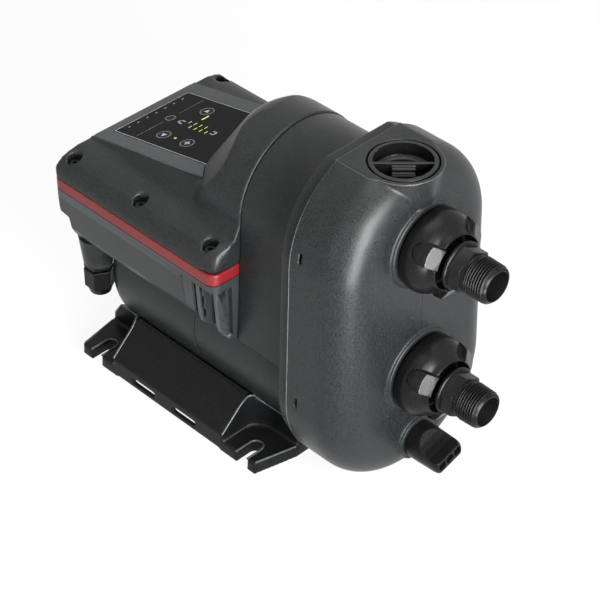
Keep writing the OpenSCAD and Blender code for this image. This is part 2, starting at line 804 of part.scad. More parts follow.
module display_bezel() color("dimgray")
    difference() {
        panel_frame(8) translate([fit, -bezel_hw + fit, -2.5]) cube([149, 2 * bezel_hw - 2 * fit, 2.5]);
        panel_frame(8) translate([10, -window_hw, -5]) cube([window_l + 0.3, 2 * window_hw, 10]);
        hump(fit);
    }

module display_window() color(black)
    difference() {
        panel_frame(8) translate([10 + fit, -window_hw + fit, -2.5])
            cube([window_l, 2 * window_hw - 2 * fit, 2.4]);
        hump(fit);
        for (p = key_places) panel_frame(p[0], p[1]) at_z(-6) cylinder(h = 8, r = key_r + run);
    }

// Places of the keys on the panel, as seen from above.
key_places = [[61, 24.4], [42.5, -0.4], [61, -24.2], [90, -24.2]];
module key_cap(i) color(black)
    panel_frame(key_places[i][0], key_places[i][1]) at_z(-2.5 + key_travel + 0.05)
        cylinder(h = 2.35 - key_travel, r = key_r);

module key_up() key_cap(0);
module key_down() key_cap(1);
module key_start() key_cap(2);
module key_reset() key_cap(3);

// Cable gland under the rear corner of the box.
module gland_place() translate([gland_at[0], gland_at[1], 0]) children();
module gland_body() color(black)
    gland_place() difference() {
        union() {
            at_z(88) cylinder(h = 3.9, r = 13.2, $fn = 6);
            at_z(74) cylinder(h = 15, r = 9.6);
            at_z(91) cylinder(h = 16, r = 8);
        }
        at_z(73) cylinder(h = 35, r = 6);
    }

module gland_seal() color("gray")
    gland_place() difference() {
        at_z(61) cylinder(h = 12.5, r = 7.6);
        at_z(60) cylinder(h = 15, r = 4.5);
    }

module gland_nut() color(black)
    gland_place() difference() {
        union() {
            at_z(67) cylinder(h = 19, r = 13.6, $fn = 6);
            at_z(60.5) cylinder(h = 7, r1 = 9.5, r2 = 11.6);
        }
        at_z(73.6) cylinder(h = 13, r = 9.6 + run);
        at_z(60.8) cylinder(h = 13, r = 7.6 + fit);
        at_z(55) cylinder(h = 15, r = 5.5);
    }

// Hexagon nipple with a ball end and a tapered outside thread, drawn from its ball centre.
module nipple() color(black) {
    hex_x = nipple_out - thread_l - hex_l - 2;
    thread_x = nipple_out - thread_l;
    translate([ball_x, 0, 0]) difference() {
        union() {
            rotate([0, 90, 0]) rotate_extrude() intersection() {
                circle(ball_r);
                translate([0, -10]) square([ball_r + 1, 19]);
            }
            xcyl(0, hex_x + 1, 16);
            xrev([[hex_x - 1.8, 0], [hex_x - 1.8, collar_r - 0.6], [hex_x - 1.2, collar_r],
                [hex_x + 0.4, collar_r], [hex_x + 1.2, collar_r - 0.8], [hex_x + 1.2, 0]]);
            intersection() {
                translate([hex_x, 0, 0]) rotate([0, 90, 0])
                    cylinder(h = hex_l, r = hex_af / sqrt(3), $fn = 6);
                xrev([[hex_x, 0], [hex_x, hex_af / sqrt(3)], [hex_x + hex_l - 1.2, hex_af / sqrt(3)],
                    [hex_x + hex_l, hex_af / 2], [hex_x + hex_l, 0]]);
            }
            xrev([[thread_x - 3, 0], [thread_x - 3, thread_r - 1.6], [thread_x, thread_r - 1.6],
                [thread_x + 1.4, thread_r], [nipple_out - 1.8, thread_r - thread_l / 32],
                [nipple_out, thread_r - thread_l / 32 - 1.6], [nipple_out, 0]]);
        }
        xcyl(-11, nipple_out + 1, nipple_bore_r);
    }
}

// Thin spherical seal between the ball of a nipple and its socket.
module ball_seal() color("gray")
    translate([ball_x, 0, 0]) rotate([0, 90, 0]) rotate_extrude() intersection() {
        difference() { circle(ball_r + 0.9); circle(ball_r + run); }
        translate([0, -9]) square([ball_r + 2, 6]);
    }

module clamp_ring() color("gray")
    translate([ball_x, 0, 0]) rotate([0, 90, 0]) rotate_extrude() difference() {
        translate([ball_r - 3, 1.6]) square([spigot_r - ball_r + 3, 7.4]);
        circle(ball_r + run);
    }

// Bell-shaped union nut with three grip lugs, each rounded at the rear and flat at the front.
module union_nut() color(black) {
    front = nut_x + nut_l;
    bell = front - 1.9;
    inner = spigot_r + 0.4;
    lug_hw = 8.8;
    lug_x = nut_x + 11.3;
    difference() {
        union() {
            xrev([[nut_x, 0], [nut_x, nut_r - 2.4], [nut_x + 1.2, nut_r - 1.2], [nut_x + 4, nut_r - 0.3],
                [nut_x + 8.5, nut_r], [nut_x + 13, nut_r - 0.9], [nut_x + 17, nut_r - 3],
                [nut_x + 20.5, nut_r - 5.9], [nut_x + 23.5, nut_r - 8.9], [bell - 1.8, nut_mouth_r + 1.7],
                [bell - 0.5, nut_mouth_r + 0.8], [bell, nut_mouth_r + 0.3], [bell, 0]]);
            for (a = [57, 177, 297]) rotate([a, 0, 0]) intersection() {
                translate([0, 0, 15]) linear_extrude(25) {
                    translate([lug_x + lug_hw, 0]) circle(lug_hw);
                    translate([lug_x + lug_hw, -lug_hw]) square([30, 2 * lug_hw]);
                }
                xrev([[lug_x - 1, 0], [lug_x - 1, nut_r + 0.1], [nut_x + 16, nut_r - 0.2],
                    [nut_x + 21.5, nut_r - 1.1], [front - 4.2, nut_r - 2.2], [front - 3.9, nut_r - 2.6],
                    [front, nut_mouth_r + 0.3], [front, 0]]);
            }
        }
        xcyl(nut_x - 1, ball_x + 9.3, inner);
        xcyl(ball_x + 9, front + 1, nut_mouth_r);
    }
}

module at_upper() at_z(port_high_z) children();
module at_lower() at_z(port_low_z) children();
module upper_clamp_ring() at_upper() clamp_ring();
module upper_union_nut() at_upper() union_nut();
module upper_ball_seal() at_upper() ball_seal();
module upper_nipple() at_upper() nipple();
module lower_clamp_ring() at_lower() clamp_ring();
module lower_union_nut() at_lower() union_nut();
module lower_ball_seal() at_lower() ball_seal();
module lower_nipple() at_lower() nipple();

// Cup-shaped priming plug with a cross bar for the fingers.
module priming_plug() color(black)
    translate([prime_x, 0, plateau_z]) {
        difference() {
            union() {
                at_z(-3.7) cylinder(h = 3.7, r = prime_r);
                at_z(-18) cylinder(h = 15, r = prime_r - 1.4);
            }
            at_z(-14) cylinder(h = 20, r = prime_r - 4.6);
            at_z(-16.8) difference() {
                cylinder(h = 3, r = prime_r);
                at_z(-1) cylinder(h = 5, r = prime_r - 3.8);
            }
        }
        rotate([0, 0, 45]) {
            translate([-prime_r + 4, -1.3, -14.5]) cube([2 * prime_r - 8, 2.6, 12.5]);
            translate([-9, -5, -14.5]) cube([18, 10, 10]);
            translate([-9, -9, -14.5]) cube([18, 18, 6.5]);
        }
    }

module priming_plug_seal() color("dimgray")
    translate([prime_x, 0, plateau_z - 15.3]) rotate_extrude() translate([prime_r - 2.4, 0]) circle(1.1);

// Drain plug with a flat grip bar that has three pockets in its end.
module drain_plug() color(black)
    translate([rim_x + 0.4, 0, drain_z]) rotate([drain_tilt, 0, 0]) {
        difference() {
            union() {
                intersection() {
                    xrev([[0, 0], [0, drain_r], [9, drain_r], [drain_l - 5, drain_r - 0.6],
                        [drain_l - 1.5, drain_r - 1.4], [drain_l, drain_r - 3], [drain_l, 0]]);
                    yslab(60) polygon([[-1, -drain_r - 1], [9, -drain_r - 1], [15, -12], [20, -8.6],
                        [26, -6.8], [drain_l + 1, -6.2], [drain_l + 1, 6.2], [26, 6.8], [20, 8.6],
                        [15, 12], [9, drain_r + 1], [-1, drain_r + 1]]);
                }
                xcyl(-14, 1, 11);
            }
            translate([drain_l - 5, -12.5, -4]) cube([6, 7, 8]);
            translate([drain_l - 5, 5.5, -4]) cube([6, 7, 8]);
            xcyl(drain_l - 5, drain_l + 1, 4.2);
            difference() {
                xcyl(-9, -6.4, 12);
                xcyl(-10, -5, 9.1);
            }
        }
    }

module drain_plug_seal() color("dimgray")
    translate([rim_x + 0.4 - 7.7, 0, drain_z]) rotate([0, 90, 0]) rotate_extrude()
        translate([10.2, 0]) circle(0.8);

// Base plate: a shell open below, with a cradle for the motor and four notched lugs.
module base_plan(inset = 0) {
    hw = base_w / 2 - inset;
    half = base_l / 2 - inset;
    translate([base_mid_x, 0]) polygon([[-half, -55], [-half + 7, -hw], [half - 10, -hw], [half, -55],
        [half, 55], [half - 10, hw], [-half + 7, hw], [-half, 55]]);
}

// Plan of one lug recess: everything outside a rounded corner round the notch.
module lug_recess() {
    translate([21, 0]) circle(21);
    translate([0, -60]) square([90, 60]);
    translate([21, -60]) square([90, 81]);
}

module base_plate() color(black) {
    hw = base_w / 2;
    corner_x = notch_pitch / 2 - 23;
    difference() {
        union() {
            linear_extrude(lug_t) base_plan();
            difference() {
                intersection() {
                    linear_extrude(60) base_plan();
                    xslab(0, 300) polygon([[-hw, 0], [-hw, 19], [-hw + 3, 22], [-67, 46], [67, 46],
                        [hw - 3, 22], [hw, 19], [hw, 0]]);
                    yslab(base_w + 2) polygon([[base_x, -1], [base_x, 20], [base_x + 20, 50],
                        [base_x + base_l - 20, 50], [base_x + base_l - 3, 20], [base_x + base_l - 3, -1]]);
                }
                for (sx = [-1, 1], sy = [-1, 1]) translate([base_mid_x, 0, lug_t]) scale_mirror(sx, sy)
                    translate([corner_x, -76, 0]) linear_extrude(60) lug_recess();
            }
        }
        at_z(shaft_z) xcyl(-1, 300, motor_r + fit);
        difference() {
            intersection() {
                translate([0, 0, -1]) linear_extrude(60) base_plan(4);
                xslab(20, 280) polygon([[-hw + 4, -1], [-hw + 4, 17], [-hw + 6, 19], [-66, 40], [66, 40],
                    [hw - 6, 19], [hw - 4, 17], [hw - 4, -1]]);
            }
            at_z(shaft_z) xcyl(0, 300, motor_r + 4);
            for (sx = [-1, 1], sy = [-1, 1]) translate([base_mid_x, 0, -2]) scale_mirror(sx, sy)
                translate([corner_x - 4, -72, 0]) linear_extrude(80) lug_recess();
        }
        for (sx = [-1, 1], sy = [-1, 1]) translate([base_mid_x + sx * notch_pitch / 2, sy * notch_in, -1]) {
            cylinder(h = lug_t + 2, r = notch_w / 2);
            translate([-notch_w / 2, sy > 0 ? 0 : -30, 0]) cube([notch_w, 30, lug_t + 2]);
        }
        for (x = [base_mid_x - 44, base_mid_x + 7], s = [-1, 1])
            translate([x, s > 0 ? hw - 6 : -hw - 2, 6.5]) cube([28, 8, 5]);
        translate([base_mid_x - 65, -hw - 1, -1]) cube([130, base_w + 2, 2.5]);
        base_screw_places() cylinder(h = 20, r = 2.3);
    }
}

module scale_mirror(sx, sy) mirror([sx < 0 ? 1 : 0, 0, 0]) mirror([0, sy > 0 ? 1 : 0, 0]) children();

module base_screws() color(steel)
    base_screw_places() {
        difference() {
            at_z(shaft_z - motor_r - 7) cylinder(h = 3.4, r = 4.5);
            at_z(shaft_z - motor_r - 8) cylinder(h = 3, r = 2.3, $fn = 6);
        }
        at_z(shaft_z - motor_r - 4) cylinder(h = 10, r = 2);
    }

placed() base_plate();
placed() base_screws();
placed() motor_casing();
placed() bearing_bracket();
placed() stator_core();
placed() stator_windings();
placed() rear_bearing();
placed() front_bearing();
placed() motor_shaft();
placed() rotor_core();
placed() impeller_1();
placed() impeller_2();
placed() impeller_3();
placed() shaft_seal();
placed() seal_seat();
placed() stage_bowl_1();
placed() stage_bowl_2();
placed() stage_bowl_3();
placed() stage_end_plate();
placed() impeller_nut();
placed() pump_body();
placed() head_screws();
placed() head_gasket();
placed() front_cover();
placed() suction_duct();
placed() suction_valve_cage();
placed() suction_valve();
placed() delivery_valve_cage();
placed() delivery_valve();
placed() pressure_tank();
placed() tank_bladder();
placed() pressure_sensor();
placed() motor_shroud();
placed() control_box_base();
placed() seal_band();
placed() control_box_cover();
placed() cover_screws();
placed() control_board();
placed() display_bezel();
placed() display_window();
placed() key_up();
placed() key_down();
placed() key_start();
placed() key_reset();
placed() gland_body();
placed() gland_seal();
placed() gland_nut();
placed() upper_clamp_ring();
placed() upper_union_nut();
placed() upper_ball_seal();
placed() upper_nipple();
placed() lower_clamp_ring();
placed() lower_union_nut();
placed() lower_ball_seal();
placed() lower_nipple();
placed() priming_plug_seal();
placed() priming_plug();
placed() drain_plug_seal();
placed() drain_plug();
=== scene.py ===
import json
import math
import bpy
from mathutils import Matrix, Vector


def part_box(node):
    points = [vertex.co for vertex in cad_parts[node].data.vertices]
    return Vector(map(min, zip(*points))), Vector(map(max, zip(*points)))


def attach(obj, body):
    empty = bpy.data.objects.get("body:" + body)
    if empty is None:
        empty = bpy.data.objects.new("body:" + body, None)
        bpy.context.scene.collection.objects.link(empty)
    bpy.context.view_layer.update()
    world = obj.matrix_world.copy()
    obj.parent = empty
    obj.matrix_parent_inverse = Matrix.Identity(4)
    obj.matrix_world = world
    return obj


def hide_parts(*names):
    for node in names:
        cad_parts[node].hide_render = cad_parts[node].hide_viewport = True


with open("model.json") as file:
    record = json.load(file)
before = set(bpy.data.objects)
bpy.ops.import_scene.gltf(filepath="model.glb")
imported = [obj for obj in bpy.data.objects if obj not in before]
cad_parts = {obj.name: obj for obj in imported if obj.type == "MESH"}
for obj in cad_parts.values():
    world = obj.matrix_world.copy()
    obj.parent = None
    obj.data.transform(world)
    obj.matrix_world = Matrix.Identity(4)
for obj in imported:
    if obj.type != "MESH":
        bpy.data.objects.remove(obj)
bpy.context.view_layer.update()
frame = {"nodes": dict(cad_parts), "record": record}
mm = 0.001
originX = 201.6  # from the rear of the control box to the origin
plugX = 306.0  # axis of the priming plug, from the same rear
baseMiddleX = 133.0
mostTriangles = 190000
white = (1, 1, 1, 1)
bodyOfNode = {n: b for b, names in frame["record"]["behaviour"]["bodies"].items() for n in names}
slotOfNode = {part["node"]: part["material_slot"] for part in frame["record"]["subparts"]}


# places are millimetres from the rear of the control box, its middle and the floor
def spot(x, y, z):
    return Vector(((x - originX) * mm, y * mm, z * mm))


# the same millimetres, read back from a vertex
def placeOf(v):
    return v.co.x / mm + originX, v.co.y / mm, v.co.z / mm


def tone(red, green, blue):
    def lin(v):
        v /= 255
        return v / 12.92 if v <= 0.04045 else ((v + 0.055) / 1.055) ** 2.4
    return (lin(red), lin(green), lin(blue), 1)


def rise(value, low, high):
    return min(1, max(0, (value - low) / (high - low)))


def fall(value, low, high):
    return 1 - rise(value, low, high)


def deselectAll():
    if bpy.context.object and bpy.context.object.mode != "OBJECT":
        bpy.ops.object.mode_set(mode="OBJECT")
    bpy.ops.object.select_all(action="DESELECT")


def pick(*pieces):
    deselectAll()
    for piece in pieces:
        piece.select_set(True)
    bpy.context.view_layer.objects.active = pieces[0]


def applyModifier(piece, kind, **settings):
    pick(piece)
    modifier = piece.modifiers.new(kind.lower(), kind)
    for key, value in settings.items():
        setattr(modifier, key, value)
    bpy.ops.object.modifier_apply(modifier=modifier.name)


def settle(piece):
    pick(piece)
    bpy.ops.object.transform_apply(location=True, rotation=True, scale=True)


def joinAll(pieces, name):
    pick(*pieces)
    if len(pieces) > 1:
        bpy.ops.object.join()
    joined = bpy.context.object
    joined.name = name
    settle(joined)
    return joined


def copyOfNode(node, name):
    source = frame["nodes"][node]
    mesh = source.data.copy()
    piece = bpy.data.objects.new(name, mesh)
    bpy.context.scene.collection.objects.link(piece)
    piece.data.materials.clear()
    pick(piece)
    bpy.ops.object.mode_set(mode="EDIT")
    bpy.ops.mesh.select_all(action="SELECT")
    bpy.ops.mesh.remove_doubles(threshold=0.00001)
    bpy.ops.object.mode_set(mode="OBJECT")
    return piece


# a rounded box of a size in millimetres, at a place given as a matrix
def block(base, size, rounding, segments):
    deselectAll()
    bpy.ops.mesh.primitive_cube_add(size=1)
    piece = bpy.context.object
    piece.matrix_world = base @ Matrix.Diagonal((*[side * mm for side in size], 1))
    settle(piece)
    applyModifier(piece, "BEVEL", width=rounding * mm, segments=segments, limit_method="NONE")
    return piece


def shadeSoft(piece, angle):
    pick(piece)
    bpy.ops.object.shade_smooth_by_angle(angle=math.radians(angle))


def triangles(piece):
    return sum(len(p.vertices) - 2 for p in piece.data.polygons)


# a piece that is shown in place of its solids
def standFor(piece, look, *nodes):
    piece.data.materials.clear()
    piece.data.materials.append(look)
    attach(piece, bodyOfNode[nodes[0]])
    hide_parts(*nodes)


# a piece that is added to a solid
def addTo(node, piece, look):
    piece.data.materials.clear()
    piece.data.materials.append(look)
    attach(piece, bodyOfNode[node])


# trim made of several parts, shaded smooth below an angle
def addTrim(node, parts, name, look, angle):
    trim = joinAll(parts, name)
    shadeSoft(trim, angle)
    addTo(node, trim, look)


# a node with its plain inputs set
def newNode(tree, kind, values):
    node = tree.nodes.new(kind)
    for label, value in values.items():
        node.inputs[label].default_value = value
    return node


# a socket takes a plain value or another node's output
def feed(tree, socket, value):
    if isinstance(value, (int, float, tuple)):
        socket.default_value = value
    else:
        tree.links.new(value, socket)


def mathNode(tree, kind, first, second):
    node = tree.nodes.new("ShaderNodeMath")
    node.operation = kind
    feed(tree, node.inputs[0], first)
    feed(tree, node.inputs[1], second)
    return node.outputs[0]


print("stage: camera and studio")
view = {
    "sensor": 36,
    "lens": 126.805,
    "right": (0.7030, 0.7112, 0),
    "up": (-0.4479, 0.4427, 0.7768),
    "back": (0.5525, -0.5460, 0.6297),
    "place": (0.96397, -0.95775, 1.20997),
}
cameraData = bpy.data.cameras.new("viewCamera")
cameraData.sensor_width = view["sensor"]
cameraData.lens = view["lens"]
cameraData.clip_end = 20
camera = bpy.data.objects.new("viewCamera", cameraData)
cameraRows = [[view[axis][i] for axis in ("right", "up", "back", "place")] for i in range(3)]
camera.matrix_world = Matrix(cameraRows + [[0, 0, 0, 1]])
bpy.context.scene.collection.objects.link(camera)
bpy.context.scene.camera = camera

studio = {
    "low": {"at": (1.46, -0.60, 0.49), "size": (0.5, 0.92), "power": 58},
    "arch": {"at": (1.44, -0.16, 0.86), "size": (0.34, 0.34), "power": 16},
    "card": {"at": (0.80, -0.42, 0.012), "size": (0.6, 0.22), "power": 21, "turn": -28},
    "top": {"at": (0.1, 0.2, 2.2), "size": (1.6, 1.6), "power": 26},
    "side": {"at": (0.2, -1.9, 0.7), "size": (0.9, 0.5), "power": 2.5},
}
lampsAim = Vector((0, 0, 0.18))
for lampName, lamp in studio.items():
    lampData = bpy.data.lights.new(lampName + "Softbox", "AREA")
    lampData.shape = "RECTANGLE"
    lampData.size, lampData.size_y = lamp["size"]
    lampData.energy = lamp["power"]
    lampObject = bpy.data.objects.new(lampName + "Softbox", lampData)
    lampObject.location = lamp["at"]
    if "turn" in lamp:
        lampObject.rotation_euler = (math.pi, 0, math.radians(lamp["turn"]))  # lies on the floor and faces up
    else:
        aim = lampsAim - Vector(lamp["at"])
        lampObject.rotation_euler = aim.to_track_quat("-Z", "Y").to_euler()
    lampObject.visible_camera = False
    bpy.context.scene.collection.objects.link(lampObject)

room = {"light": 0.3, "floorSize": 12, "floorColour": (0.86, 0.86, 0.86, 1), "floorRough": 0.9,
    "floorGlow": 0.9}


# 1 for what is seen straight, in a gloss or through glass, and 0 for diffuse light
def whiteForView(tree):
    path = tree.nodes.new("ShaderNodeLightPath")
    seen = mathNode(tree, "MAXIMUM", path.outputs["Is Camera Ray"], path.outputs["Is Glossy Ray"])
    return mathNode(tree, "MAXIMUM", seen, path.outputs["Is Transmission Ray"])


def mixByShare(tree, share, first, second, outKind):
    mix = tree.nodes.new("ShaderNodeMixShader")
    out = tree.nodes.new(outKind)
    tree.links.new(share, mix.inputs[0])
    tree.links.new(first.outputs[0], mix.inputs[1])
    tree.links.new(second.outputs[0], mix.inputs[2])
    tree.links.new(mix.outputs[0], out.inputs["Surface"])


world = bpy.data.worlds.new("paleRoom")
bpy.context.scene.world = world
world.use_nodes = True
roomTree = world.node_tree
roomTree.nodes.clear()
roomSeen = newNode(roomTree, "ShaderNodeBackground", {"Color": white, "Strength": 1})
roomLit = newNode(roomTree, "ShaderNodeBackground", {"Color": white, "Strength": room["light"]})
mixByShare(roomTree, whiteForView(roomTree), roomLit, roomSeen, "ShaderNodeOutputWorld")

deselectAll()
bpy.ops.mesh.primitive_plane_add(size=room["floorSize"], location=(0, 0, 0))
floor = bpy.context.object
floor.name = "studioFloor"
floorLook = bpy.data.materials.new("paleFloor")
floorLook.use_nodes = True
floorTree = floorLook.node_tree
floorTree.nodes.clear()
floorPaint = newNode(floorTree, "ShaderNodeBsdfPrincipled",
    {"Base Color": room["floorColour"], "Roughness": room["floorRough"]})
floorGlow = newNode(floorTree, "ShaderNodeEmission", {"Color": white})
floorShare = mathNode(floorTree, "MULTIPLY", whiteForView(floorTree), room["floorGlow"])
mixByShare(floorTree, floorShare, floorPaint, floorGlow, "ShaderNodeOutputMaterial")
floor.data.materials.append(floorLook)
bpy.context.scene.view_settings.view_transform = "Standard"


print("stage: finishes")


def newGroup(name, inputs, outputs):
    group = bpy.data.node_groups.new(name, "ShaderNodeTree")
    for label, kind, value in inputs:
        socket = group.interface.new_socket(name=label, in_out="INPUT", socket_type=kind)
        socket.default_value = value
    for label, kind in outputs:
        group.interface.new_socket(name=label, in_out="OUTPUT", socket_type=kind)
    return group, group.nodes.new("NodeGroupInput"), group.nodes.new("NodeGroupOutput")


# fine moulded grain: a speckle the size of a pixel on the photograph, over a slow waviness
grain = {"size": 1400.0, "wave": 60.0, "waveShare": 0.6}
grainGroup, grainIn, grainOut = newGroup("mouldedGrain",
    [("Size", "NodeSocketFloat", grain["size"]), ("Wave", "NodeSocketFloat", grain["wave"])],
    [("Height", "NodeSocketFloat"), ("Speckle", "NodeSocketFloat")])
grainPlace = grainGroup.nodes.new("ShaderNodeTexCoord")
grainFine = newNode(grainGroup, "ShaderNodeTexNoise", {"Detail": 3, "Roughness": 0.65})
grainSlow = newNode(grainGroup, "ShaderNodeTexNoise", {"Detail": 1})
for noise, label in ((grainFine, "Size"), (grainSlow, "Wave")):
    grainGroup.links.new(grainPlace.outputs["Object"], noise.inputs["Vector"])
    grainGroup.links.new(grainIn.outputs[label], noise.inputs["Scale"])
grainWave = mathNode(grainGroup, "MULTIPLY", grainSlow.outputs["Fac"], grain["waveShare"])
grainSum = mathNode(grainGroup, "ADD", grainFine.outputs["Fac"], grainWave)
grainGroup.links.new(grainSum, grainOut.inputs["Height"])
grainGroup.links.new(grainFine.outputs["Fac"], grainOut.inputs["Speckle"])

# rubbed edges and painted highlight: lighter where the surface is sharp and turned outwards, partly wear and
# partly a painted edge highlight
edgeGroup, edgeIn, edgeOut = newGroup("rubbedEdgeAndHighlight",
    [("Low", "NodeSocketFloat", 0.52), ("High", "NodeSocketFloat", 0.62)],
    [("Mask", "NodeSocketFloat")])
edgeGeometry = edgeGroup.nodes.new("ShaderNodeNewGeometry")
edgeRange = edgeGroup.nodes.new("ShaderNodeMapRange")
edgeGroup.links.new(edgeGeometry.outputs["Pointiness"], edgeRange.inputs["Value"])
edgeGroup.links.new(edgeIn.outputs["Low"], edgeRange.inputs["From Min"])
edgeGroup.links.new(edgeIn.outputs["High"], edgeRange.inputs["From Max"])
edgeGroup.links.new(edgeRange.outputs["Result"], edgeOut.inputs["Mask"])

# thin dust that settles on faces turned upwards
thinDust = {"amount": 0.2, "steepness": 1.6, "patches": 35, "tone": (150, 146, 140)}
dustGroup, dustIn, dustOut = newGroup("settledDust",
    [("Amount", "NodeSocketFloat", thinDust["amount"])], [("Mask", "NodeSocketFloat")])
dustGeometry = dustGroup.nodes.new("ShaderNodeNewGeometry")
dustSplit = dustGroup.nodes.new("ShaderNodeSeparateXYZ")
dustGroup.links.new(dustGeometry.outputs["Normal"], dustSplit.inputs[0])
dustFacing = mathNode(dustGroup, "MAXIMUM", dustSplit.outputs["Z"], 0.0)
dustUp = mathNode(dustGroup, "POWER", dustFacing, thinDust["steepness"])
dustPlace = dustGroup.nodes.new("ShaderNodeTexCoord")
dustNoise = newNode(dustGroup, "ShaderNodeTexNoise", {"Scale": thinDust["patches"], "Detail": 5})
dustGroup.links.new(dustPlace.outputs["Object"], dustNoise.inputs["Vector"])
dustPatchy = mathNode(dustGroup, "MULTIPLY", dustUp, dustNoise.outputs["Fac"])
dustMask = mathNode(dustGroup, "MULTIPLY", dustPatchy, dustIn.outputs["Amount"])
dustGroup.links.new(dustMask, dustOut.inputs["Mask"])


def placeGroup(tree, group, **values):
    node = tree.nodes.new("ShaderNodeGroup")
    node.node_tree = group
    for key, value in values.items():
        node.inputs[key].default_value = value
    return node


def mixColour(tree, factor, first, second):
    node = tree.nodes.new("ShaderNodeMix")
    node.data_type = "RGBA"
    for number, value in ((0, factor), (6, first), (7, second)):  # the factor and the two colours
        feed(tree, node.inputs[number], value)
    return node.outputs[2]


def ramp(tree, value, low, high, outLow, outHigh):
    node = tree.nodes.new("ShaderNodeMapRange")
    tree.links.new(value, node.inputs["Value"])
    for label, number in (("From Min", low), ("From Max", high), ("To Min", outLow), ("To Max", outHigh)):
        node.inputs[label].default_value = number
    return node.outputs["Result"]


def newLook(name):
    look = bpy.data.materials.new(name)
    look.use_nodes = True
    tree = look.node_tree
    tree.nodes.clear()
    out = tree.nodes.new("ShaderNodeOutputMaterial")
    shader = tree.nodes.new("ShaderNodeBsdfPrincipled")
    tree.links.new(shader.outputs[0], out.inputs["Surface"])
    return look, tree, shader


def bumpFrom(tree, shader, height, strength, distance):
    bump = newNode(tree, "ShaderNodeBump", {"Strength": strength, "Distance": distance * mm})
    tree.links.new(height, bump.inputs["Height"])
    tree.links.new(bump.outputs["Normal"], shader.inputs["Normal"])


speckleRange = (0.4, 0.64)  # from the dark to the light tone of a plastic
glossRange = (0.3, 0.7)  # from the lower to the higher roughness
edgeWearAndHighlightGain = 2.2  # edge wear and painted edge highlight, against the light tone
metalGrain = {"dark": 0.7, "detail": 4, "strength": 0.25, "depth": 0.03}


def tinted(colour, gain):
    return tuple(min(1, c * gain) for c in colour[:3]) + (1,)


def mouldedPlastic(name, colour, light, rough, size=1400, depth=0.05, strength=0.5, dust=0.25, edge=0.5,
        specular=0.5):
    look, tree, shader = newLook(name)
    fine = placeGroup(tree, grainGroup, Size=size)
    edges = placeGroup(tree, edgeGroup)
    settled = placeGroup(tree, dustGroup, Amount=dust)
    speckled = mixColour(tree, ramp(tree, fine.outputs["Speckle"], *speckleRange, 0, 1), colour, light)
    # sharp edges lighter: partly wear, partly a painted edge highlight
    wornAndHighlit = mixColour(tree, mathNode(tree, "MULTIPLY", edges.outputs["Mask"], edge), speckled,
        tinted(light, edgeWearAndHighlightGain))
    dusty = mixColour(tree, settled.outputs["Mask"], wornAndHighlit, tone(*thinDust["tone"]))
    tree.links.new(dusty, shader.inputs["Base Color"])
    tree.links.new(ramp(tree, fine.outputs["Speckle"], *glossRange, *rough), shader.inputs["Roughness"])
    shader.inputs["Specular IOR Level"].default_value = specular
    bumpFrom(tree, shader, fine.outputs["Height"], strength, depth)
    return look


def metalFinish(name, colour, rough=(0.25, 0.4), size=900, stretch=(1, 1, 1)):
    look, tree, shader = newLook(name)
    coords = tree.nodes.new("ShaderNodeTexCoord")
    mapping = newNode(tree, "ShaderNodeMapping", {"Scale": stretch})
    noise = newNode(tree, "ShaderNodeTexNoise", {"Scale": size, "Detail": metalGrain["detail"]})
    tree.links.new(coords.outputs["Object"], mapping.inputs["Vector"])
    tree.links.new(mapping.outputs[0], noise.inputs["Vector"])
    brushed = mixColour(tree, noise.outputs["Fac"], tinted(colour, metalGrain["dark"]), colour)
    tree.links.new(brushed, shader.inputs["Base Color"])
    tree.links.new(ramp(tree, noise.outputs["Fac"], *glossRange, *rough), shader.inputs["Roughness"])
    shader.inputs["Metallic"].default_value = 1.0
    bumpFrom(tree, shader, noise.outputs["Fac"], metalGrain["strength"], metalGrain["depth"])
    return look


